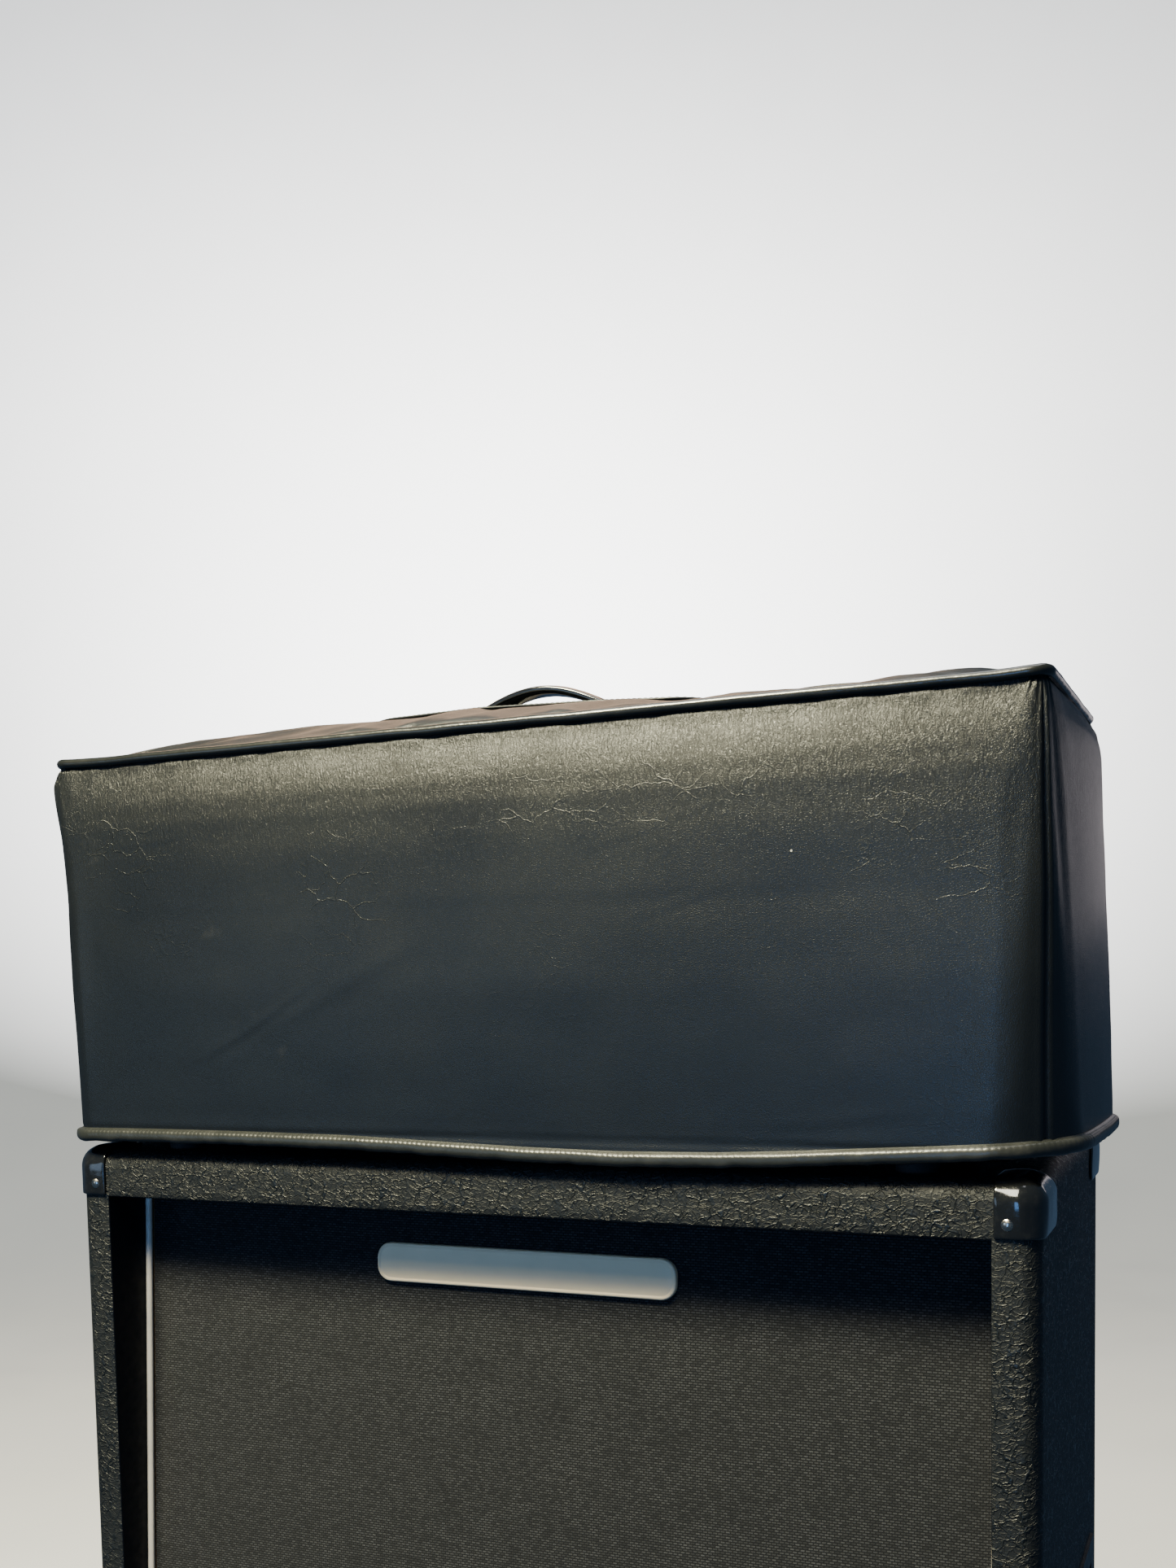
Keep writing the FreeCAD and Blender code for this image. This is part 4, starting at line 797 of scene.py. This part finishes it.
# rise of the hem and height of the top above the welt, from left to right
HEM_RISE = [(-390, 0.0), (-300, 0.8), (-220, 0.8), (-120, 0.0), (-50, -2.3), (28, -4.8), (100, -6.0),
            (172, -4.8), (230, -2.2), (270, 0.3), (320, 3.2), (360, 5.8), (400, 8.2)]
CROWN = [(-400, 22), (-330, 22.6), (-250, 23.2), (-145, 25), (-40, 27), (60, 23.5), (145, 18.5), (222, 17.2),
         (280, 18), (333, 23), (400, 25)]
# radius of the right and the left corners, seen from above, at each height
CORNER_RIGHT = [(774, 52), (800, 46), (1000, 36), (1055, 24), (1081, 12)]
CORNER_LEFT = [(774, 22), (1000, 24), (1055, 18), (1081, 11)]
# counts of points along the long walls, the end walls and the corners
SIDE_A, SIDE_B, ARC = 74, 20, 14


def cover_point(a, b, z, rise_share):
    """Moves a point of the plain plan outline to where the hanging cover is at that height."""
    end_zone = 300
    back_share = (b - COVER_FRONT) / (COVER_BACK - COVER_FRONT)
    front_edge, back_edge = (RIGHT_FRONT, RIGHT_BACK) if a > 0 else (LEFT_EDGE, LEFT_BACK)
    reach = table_value(front_edge, z) * (1 - back_share) + table_value(back_edge, z) * back_share
    x = a * reach / HALF_WIDTH
    depth_share = (b - MIDDLE_Y) / HALF_DEPTH
    if abs(a) > end_zone:
        belly = table_value(SIDE_BULGE, z) * max(0, 1 - depth_share**2)
        x += math.copysign(belly * (abs(a) - end_zone) / (HALF_WIDTH - end_zone), a)
    along = min(abs(a) / HALF_WIDTH, 1)
    swell = table_value(FRONT_BULGE, z) * (1 - 0.5 * along**4)
    y = b + swell * math.copysign(min(1.0, abs(depth_share)) ** 3, depth_share)
    rise = table_value(HEM_RISE, x) * rise_share
    if rise < 0:
        rise *= 1 - back_share
    if a > 0:
        rise += 1.5 * back_share * rise_share
    return x, y, z + rise


def crown_height(x, y):
    """How far the cover's top stands above the welt, falling away towards its edges."""
    right_reach, left_reach, edge = 389.0, 384.0, 3.0
    p = min(abs(x) / (right_reach if x > 0 else left_reach), 1.0)
    q = min(abs(y - MIDDLE_Y) / (HALF_DEPTH - edge), 1.0)
    return table_value(CROWN, x) * max(1 - p**9, 0) ** 0.8 * max(1 - q**2.3, 0) ** 0.72


def cover_loop(half_a, half_b, radius, y=MIDDLE_Y):
    return rounded_loop(half_a, half_b, radius, SIDE_A, SIDE_B, ARC, (0, y))


def cover_lattice():
    """Rows of points from the hem up to the welt, then over the top to the handle slot."""
    rise_fades_over, welt_inset, welt_corner = 250.0, 1.5, 10.0
    heights = [COVER_BOTTOM + 4.0 * k for k in range(4)]
    heights += list(np.linspace(790, 1060, 34)) + [1066, 1071, 1075.5, 1079]
    rows = []
    for z in heights:
        loops = [
            cover_loop(HALF_WIDTH, HALF_DEPTH, table_value(table, z)) for table in (CORNER_RIGHT, CORNER_LEFT)
        ]
        loop = [right if right[0] > 0 else left for right, left in zip(*loops)]
        share = max(0.0, 1 - (z - COVER_BOTTOM) / rise_fades_over)
        rows.append([cover_point(a, b, z, share) for a, b in loop])
    wall_rows = len(rows)
    outer = cover_loop(HALF_WIDTH - welt_inset, HALF_DEPTH - welt_inset, welt_corner)
    outer = [cover_point(a, b, COVER_TOP, 0)[:2] for a, b in outer]
    slot = cover_loop(SLOT_HALF, SLOT_WIDE, SLOT_WIDE - 1, SLOT_Y)
    for t in (0.0, 0.035, 0.075, 0.125, 0.19, 0.27, 0.36, 0.46, 0.57, 0.68, 0.79, 0.88, 0.95, 1.0):
        spots = [(ax + (bx - ax) * t, ay + (by - ay) * t) for (ax, ay), (bx, by) in zip(outer, slot)]
        rows.append([(x, y, COVER_TOP + crown_height(x, y)) for x, y in spots])
    return np.array(rows), wall_rows


def hang(lattice, wall_rows):
    """Lets the vinyl settle by cloth simulation, held at welt, slot and hem, and keeps its sags."""
    held, near, wall_hold, top_hold = 1.0, 0.5, 0.035, 0.3
    start, end, most_move, hem_free, free_over = 1, 26, 4.0, 8, 170
    rows, columns = lattice.shape[:2]
    obj = piece("settling", lattice, strip_faces(rows, columns, True), [dust_vinyl], None)
    group = obj.vertex_groups.new(name="held")
    for i in range(rows):
        if i in (0, wall_rows, rows - 1):
            weight = held
        elif i in (1, wall_rows - 1, wall_rows + 1, rows - 2):
            weight = near
        else:
            weight = wall_hold if i < wall_rows else top_hold
        group.add(row_face(i, columns), weight, "REPLACE")
    cloth = obj.modifiers.new("cloth", "CLOTH")
    settings = cloth.settings
    settings.quality = 6
    settings.mass = 0.45
    settings.air_damping = 4.0
    settings.tension_stiffness = settings.compression_stiffness = 40.0
    settings.shear_stiffness = 14.0
    settings.bending_stiffness = 20.0
    settings.vertex_group_mass = "held"
    settings.effector_weights.gravity = 0.5
    settings.pin_stiffness = 1.0
    settings.shrink_min, settings.shrink_max = -0.004, -0.001
    cloth.collision_settings.use_collision = False
    cloth.point_cache.frame_start, cloth.point_cache.frame_end = start, end
    scene = bpy.context.scene
    for number in range(start, end + 1):
        scene.frame_set(number)
    mesh = obj.evaluated_get(bpy.context.evaluated_depsgraph_get()).to_mesh()
    moved = vertex_places(mesh).reshape(lattice.shape) - lattice
    scene.frame_set(start)
    bpy.data.objects.remove(obj, do_unlink=True)
    length = np.linalg.norm(moved, axis=2, keepdims=True)
    moved *= most_move * np.tanh(length / most_move) / np.maximum(length, 1e-6)
    above_hem = np.clip((lattice[:wall_rows, :, 2:] - COVER_BOTTOM - hem_free) / free_over, 0, 1)
    moved[:wall_rows] *= above_hem**1.5
    return lattice + moved


FINER = 3


def refine(values, axis, wrap):
    """Smooth cubic interpolation of a lattice along one axis, to FINER times as many points."""
    count = values.shape[axis]
    values = np.moveaxis(values, axis, 0)
    steps = np.arange(count * FINER if wrap else (count - 1) * FINER + 1) / FINER
    base = np.floor(steps).astype(int)
    if not wrap:
        base = np.minimum(base, count - 2)
    t = (steps - base)[:, None, None]

    def pick(k):
        index = (base + k) % count if wrap else np.clip(base + k, 0, count - 1)
        return values[index]

    p0, p1, p2, p3 = pick(-1), pick(0), pick(1), pick(2)
    cubic = (2 * p0 - 5 * p1 + 4 * p2 - p3) * t**2 + (3 * p1 - p0 - 3 * p2 + p3) * t**3
    return np.moveaxis(0.5 * (2 * p1 + (p2 - p0) * t + cubic), 0, axis)


def lattice_normals(lattice):
    along = np.roll(lattice, -1, 1) - np.roll(lattice, 1, 1)
    normal = np.cross(along, np.gradient(lattice, axis=0))
    return normal / np.maximum(np.linalg.norm(normal, axis=2, keepdims=True), 1e-9)


def hump(distance, width):
    return np.exp(-((distance / width) ** 2))


def fold(x, z, start, end, width, height):
    """A soft ridge of that width and height along a wandering segment on the front panel."""
    sx, sz = start
    dx, dz = end[0] - sx, end[1] - sz
    run = math.hypot(dx, dz)
    u = ((x - sx) * dx + (z - sz) * dz) / run
    v = (-(x - sx) * dz + (z - sz) * dx) / run
    v = v + 0.03 * np.sin(u / 9.0) * width + 2.0 * np.sin(u / 31.0)
    fade_length = 0.3 * run
    fade = np.clip(u / fade_length, 0, 1) * np.clip((run - u) / fade_length, 0, 1)
    return height * fade * (hump(v, width) - 0.6 * hump(v + 1.7 * width, 1.5 * width))


# start and end (x, z), width and height
FOLDS = (
    ((-262, 838), (-128, 905), 3.0, 0.30),
    ((-205, 862), (-30, 935), 7.0, 0.25),
    ((60, 985), (215, 1022), 2.2, 0.10),
    ((-60, 1010), (40, 1003), 2.0, 0.10),
    ((180, 800), (330, 812), 4.0, 0.12),
    ((-340, 1010), (-255, 1018), 2.2, 0.20),
    ((110, 940), (190, 962), 2.2, 0.12),
)


def seam_grooves(wall):
    """The upright seams at the four corners: a groove between two soft ridges."""
    columns = wall.shape[1]
    total, position, measured_row = 0, 0, 20
    for count in (SIDE_B, SIDE_A, SIDE_B, SIDE_A):
        position += count
        seam = (position + ARC * 0.5) * FINER
        away = np.abs((np.arange(columns) - seam + columns / 2) % columns - columns / 2)
        pair = wall[measured_row, int(seam):int(seam) + 2]
        distance = away * np.linalg.norm(pair[1] - pair[0])
        total = total - 1.9 * hump(distance, 1.5) + 0.5 * hump(distance - 4.5, 2.5)
        position += ARC
    return total


def make_cover():
    """The cover's walls and top as one sheet, and the lines its edges follow."""
    lattice, wall_rows = cover_lattice()
    lattice = hang(lattice, wall_rows)
    hem_path, welt_path, slot_path = (lattice[i].copy() for i in (0, wall_rows, -1))
    lattice[0, :, 2] += 3.0  # the sheet's edge stays inside the bound hem
    wall = refine(refine(lattice[:wall_rows], 0, False), 1, True)
    top = refine(refine(lattice[wall_rows:], 0, False), 1, True)
    x, y, z = np.moveaxis(wall, 2, 0)
    front = y < MIDDLE_Y - 0.8 * HALF_DEPTH
    push = sum(np.where(front, fold(x, z, *where), 0) for where in FOLDS)
    push += seam_grooves(wall)
    # drawn in under the welt and above the hem, then a little uneven all over
    push += -1.6 * hump(COVER_TOP - 2 - z, 3.0) - 0.6 * hump(z - COVER_BOTTOM - 13, 2.0)
    push += 0.35 * np.array([[drift(p[0] / 55, p[1] / 55, p[2] / 34) for p in row] for row in wall])
    wall = wall + lattice_normals(wall) * push[..., None]
    waves = np.array([[drift(p[0] / 45, p[1] / 30, 9.0) for p in row] for row in top])
    top[..., 2] += 1.1 * waves * np.minimum(1, np.arange(len(top)) / 6.0)[:, None]
    sheet = np.concatenate([wall, top])
    cover = piece("dust_cover_vinyl", sheet, strip_faces(*sheet.shape[:2], True), [dust_vinyl], "cover")
    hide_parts("cover_front_panel", "cover_back_panel", "cover_side_panels", "cover_top_panel")
    return cover, hem_path, welt_path, slot_path


def resample(path, step):
    """Evenly spaced points along a closed path."""
    loop = np.vstack([path, path[:1]])
    run = distance_run(loop)
    spots = np.linspace(0, run[-1], int(round(run[-1] / step)), endpoint=False)
    return np.stack([np.interp(spots, run, loop[:, k]) for k in range(3)], axis=1)


HEM_STITCH = 4.0


def make_hem(path):
    """The bound hem: a stitched upper fold that stands proud, over a rolled lower edge."""
    path = resample(path, HEM_STITCH / 3)
    path[:, 2] -= 0.4
    stitched_from, stitched_to, tall = 9.0, 12.0, 13
    base = [(-0.4, 13.0), (0.6, 12.9), (1.0, 12.0), (2.2, 11.9), (3.6, 11.1), (4.5, 9.8), (5.0, 8.0),
            (5.1, 6.0), (5.0, 4.2), (4.4, 2.2), (3.3, 0.8), (1.9, 0.1), (0.4, 0.2), (-0.8, 1.2),
            (-1.4, 3.0), (-1.4, 8.0), (-1.0, 12.2)]

    def section(run):
        swell = 1 + 0.16 * drift(run / 45, 1.7, 0)
        tug = 0.30 * math.cos(2 * math.pi * run / HEM_STITCH)
        wave = 0.9 * drift(run / 14, 5.1, 0)
        return [
            (u * swell + (tug if stitched_from < v < stitched_to else 0),
             2.2 + 0.83 * v + wave * (1 - v / tall))
            for u, v in base
        ]

    hem = sweep("dust_cover_hem", path, section, trim, "cover")
    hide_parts("cover_hem")
    return hem, path


def make_welt(path):
    """The cord-filled welt round the top edge, uneven in height and a little higher at its corners."""
    cord, uneven, step = 3.7, 0.3, 3.0
    path = resample(path, step)
    x_share = np.minimum(np.abs(path[:, 0]) / HALF_WIDTH, 1)
    y_share = np.minimum(np.abs(path[:, 1] - MIDDLE_Y) / HALF_DEPTH, 1)
    path[:, 2] += -0.6 + 0.5 * np.array([drift(p[0] / 40, p[1] / 40, 5) for p in path])
    path[:, 2] += 2.0 * x_share**30 * y_share**8

    def section(run):
        size = cord + uneven * drift(run / 30, 4.0, 0)
        return [(u + 0.6, v) for u, v in disc(size, 14)]

    welt = sweep("dust_cover_welt", path, section, corded, "cover")
    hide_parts("cover_welt")
    return welt


def stitches(name, path, offset, step, length, rise):
    """A row of thread stitches beside a closed path, each a small rounded bar half sunk in the vinyl."""
    thick, around = 0.42, 6
    # share of the length and of the thickness
    bar = ((-0.5, 0.25), (-0.36, 0.9), (0.0, 1.0), (0.36, 0.9), (0.5, 0.25))
    bar_faces = strip_faces(len(bar), around, True)
    spots = resample(path, step)
    ahead = unit(np.roll(spots, -1, 0) - spots)
    out = unit(np.cross(ahead, (0, 0, 1)))
    points, faces = [], []
    for spot, direction, side in zip(spots, ahead, out):
        centre = spot + side * offset + np.array([0, 0, rise])
        up = np.cross(side, direction)
        faces += [tuple(len(points) + v for v in face) for face in bar_faces]
        for t, size in bar:
            for c, s in disc(thick * size, around):
                points.append(centre + direction * t * length + side * c + up * s)
    row = piece(name, points, faces, [thread], "cover")
    return row


def make_slot_edge(path):
    """The folded edge of the handle slot and its row of stitches."""
    edge = resample(path, 3.0)
    strip = [(-2.8, -0.4), (-1.8, -1.3), (4.0, -1.0), (9.6, -0.4), (8.5, 0.65), (3.0, 0.8), (-0.8, 0.9),
             (-2.4, 0.55)]
    folded = sweep("dust_cover_slot_edge", edge, strip, trim, "cover")
    row = stitches("dust_cover_slot_stitches", edge, 6.2, 4.4, 3.2, 0.9)
    return folded, row


cover, hem_path, welt_path, slot_path = make_cover()
hem, hem_line = make_hem(hem_path)
welt = make_welt(welt_path)
slot_edge, slot_stitches = make_slot_edge(slot_path)
hem_stitches = stitches("dust_cover_hem_stitches", hem_line, 2.4, HEM_STITCH, 2.8, 11.6)

# ---- handle
STRAP_RADIUS, STRAP_HALF, STRAP_TOP = 146.5, 96.0, 1125.0


def make_strap():
    """A moulded strap, grooved along both sides, bowed up in the middle and flatter towards its end caps."""
    wide, thick, steps, around = 12.0, 3.4, 60, 32
    groove_at, groove_width, groove_depth, lowered = 8.7, 1.3, 0.75, 3.5
    y = middle("handle_strap")[1]
    full_fall = STRAP_RADIUS - math.sqrt(STRAP_RADIUS**2 - STRAP_HALF**2)
    path = []
    for x in np.linspace(-STRAP_HALF, STRAP_HALF, steps + 1):
        arc = STRAP_RADIUS - math.sqrt(STRAP_RADIUS**2 - x**2)
        bell = full_fall * (1 - math.cos(math.pi * x / STRAP_HALF)) / 2
        path.append((x, y, STRAP_TOP - lowered - (arc + bell) / 2))
    section = []
    for c, s in disc(1, around):
        out = wide * math.copysign(abs(c) ** 0.55, c)
        rise = thick * math.copysign(abs(s) ** 0.75, s)
        if s > 0:
            rise -= groove_depth * hump(abs(out) - groove_at, groove_width)
        section.append((out, rise))
    strap = sweep("handle_strap_moulded", path, section[::-1], glossy_black, "head", closed=False)
    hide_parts("handle_strap")


make_strap()


# ---- knob pointers
def make_pointers():
    """A white line let into the groove of each knob's cap."""
    half, proud, depth, inner, outer = 0.55, 0.15, 0.75, 1.0, 9.6
    faces = [(0, 1, 3, 2), (4, 6, 7, 5), (0, 4, 5, 1), (2, 3, 7, 6), (0, 2, 6, 4), (1, 5, 7, 3)]
    for name in ("presence", "bass", "middle", "treble", "master", "preamp"):
        x, _, z = middle(f"knob_{name}")
        face = low(f"knob_{name}")[1]
        points = [
            (x + side * half, y, z + rise)
            for y in (face - proud, face + depth)
            for rise in (inner, outer)
            for side in (-1, 1)
        ]
        line = piece(f"knob_{name}_pointer", points, faces, [paint_white], f"knob_{name}_body")
        smooth_by_angle(line)


make_pointers()

# ---- the CAD nodes that still show
# slot: finish, and bevel in millimetres
FINISHES = {
    "plywood": (grained_wood(), 0.4),
    "textured_covering": (covering, 1.2),
    "black_steel": (simple("black_steel", (0.011, 0.011, 0.012), 0.42, other=(0.024, 0.024, 0.024),
        grain=2600.0, depth=0.0001), 0.25),
    "black_plastic": (simple("moulded_plastic", (0.013, 0.013, 0.014), 0.4,
        other=(0.026, 0.026, 0.027), grain=1700.0, depth=0.0001), 0.35),
    "nickel": (bright_plating(), 0.0),
    "rubber": (simple("rubber", (0.016, 0.016, 0.016), 0.78, grain=1500.0, depth=0.00012), 0.6),
    "paper_cone": (pressed_paper(), 0.0),
    "chassis_steel": (brushed("chassis_steel", (0.50, 0.51, 0.52)), 0.2),
    "panel_metal": (brushed("panel_metal", (0.56, 0.50, 0.38), roughness=0.3), 0.25),
    "board_resin": (simple("board_resin", (0.030, 0.085, 0.045), 0.35, other=(0.05, 0.12, 0.06),
        grain=2400.0), 0.15),
    "transformer_iron": (simple("transformer_iron", (0.045, 0.045, 0.048), 0.5, 0.4,
        other=(0.10, 0.07, 0.05), grain=1300.0, depth=0.0001), 0.6),
    "can_aluminium": (simple("can_aluminium", (0.035, 0.065, 0.15), 0.3, 0.2, other=(0.06, 0.09, 0.18)), 0.0),
    "socket_ceramic": (simple("socket_ceramic", (0.62, 0.60, 0.55), 0.3, other=(0.5, 0.46, 0.4)), 0.3),
    "valve_glass": (smeared_glass(), 0.0),
    "jewel": (simple("jewel", (0.45, 0.012, 0.008), 0.12, other=(0.25, 0.006, 0.004), coat=0.6,
        grain=400.0), 0.0),
    "white_piping": (cream, 0.5),
}


def finish_nodes():
    """Gives every CAD node that still shows the finish of its slot, and softens its edges."""
    slots = {part["node"]: part["material_slot"] for part in frame["record"]["subparts"]}
    for name, obj in nodes.items():
        if obj.hide_render:
            continue
        material, bevel = (glossy_black, 0.5) if name == "head_corners" else FINISHES[slots[name]]
        obj.data.materials.clear()
        obj.data.materials.append(material)
        smooth_by_angle(obj, bevel)


finish_nodes()
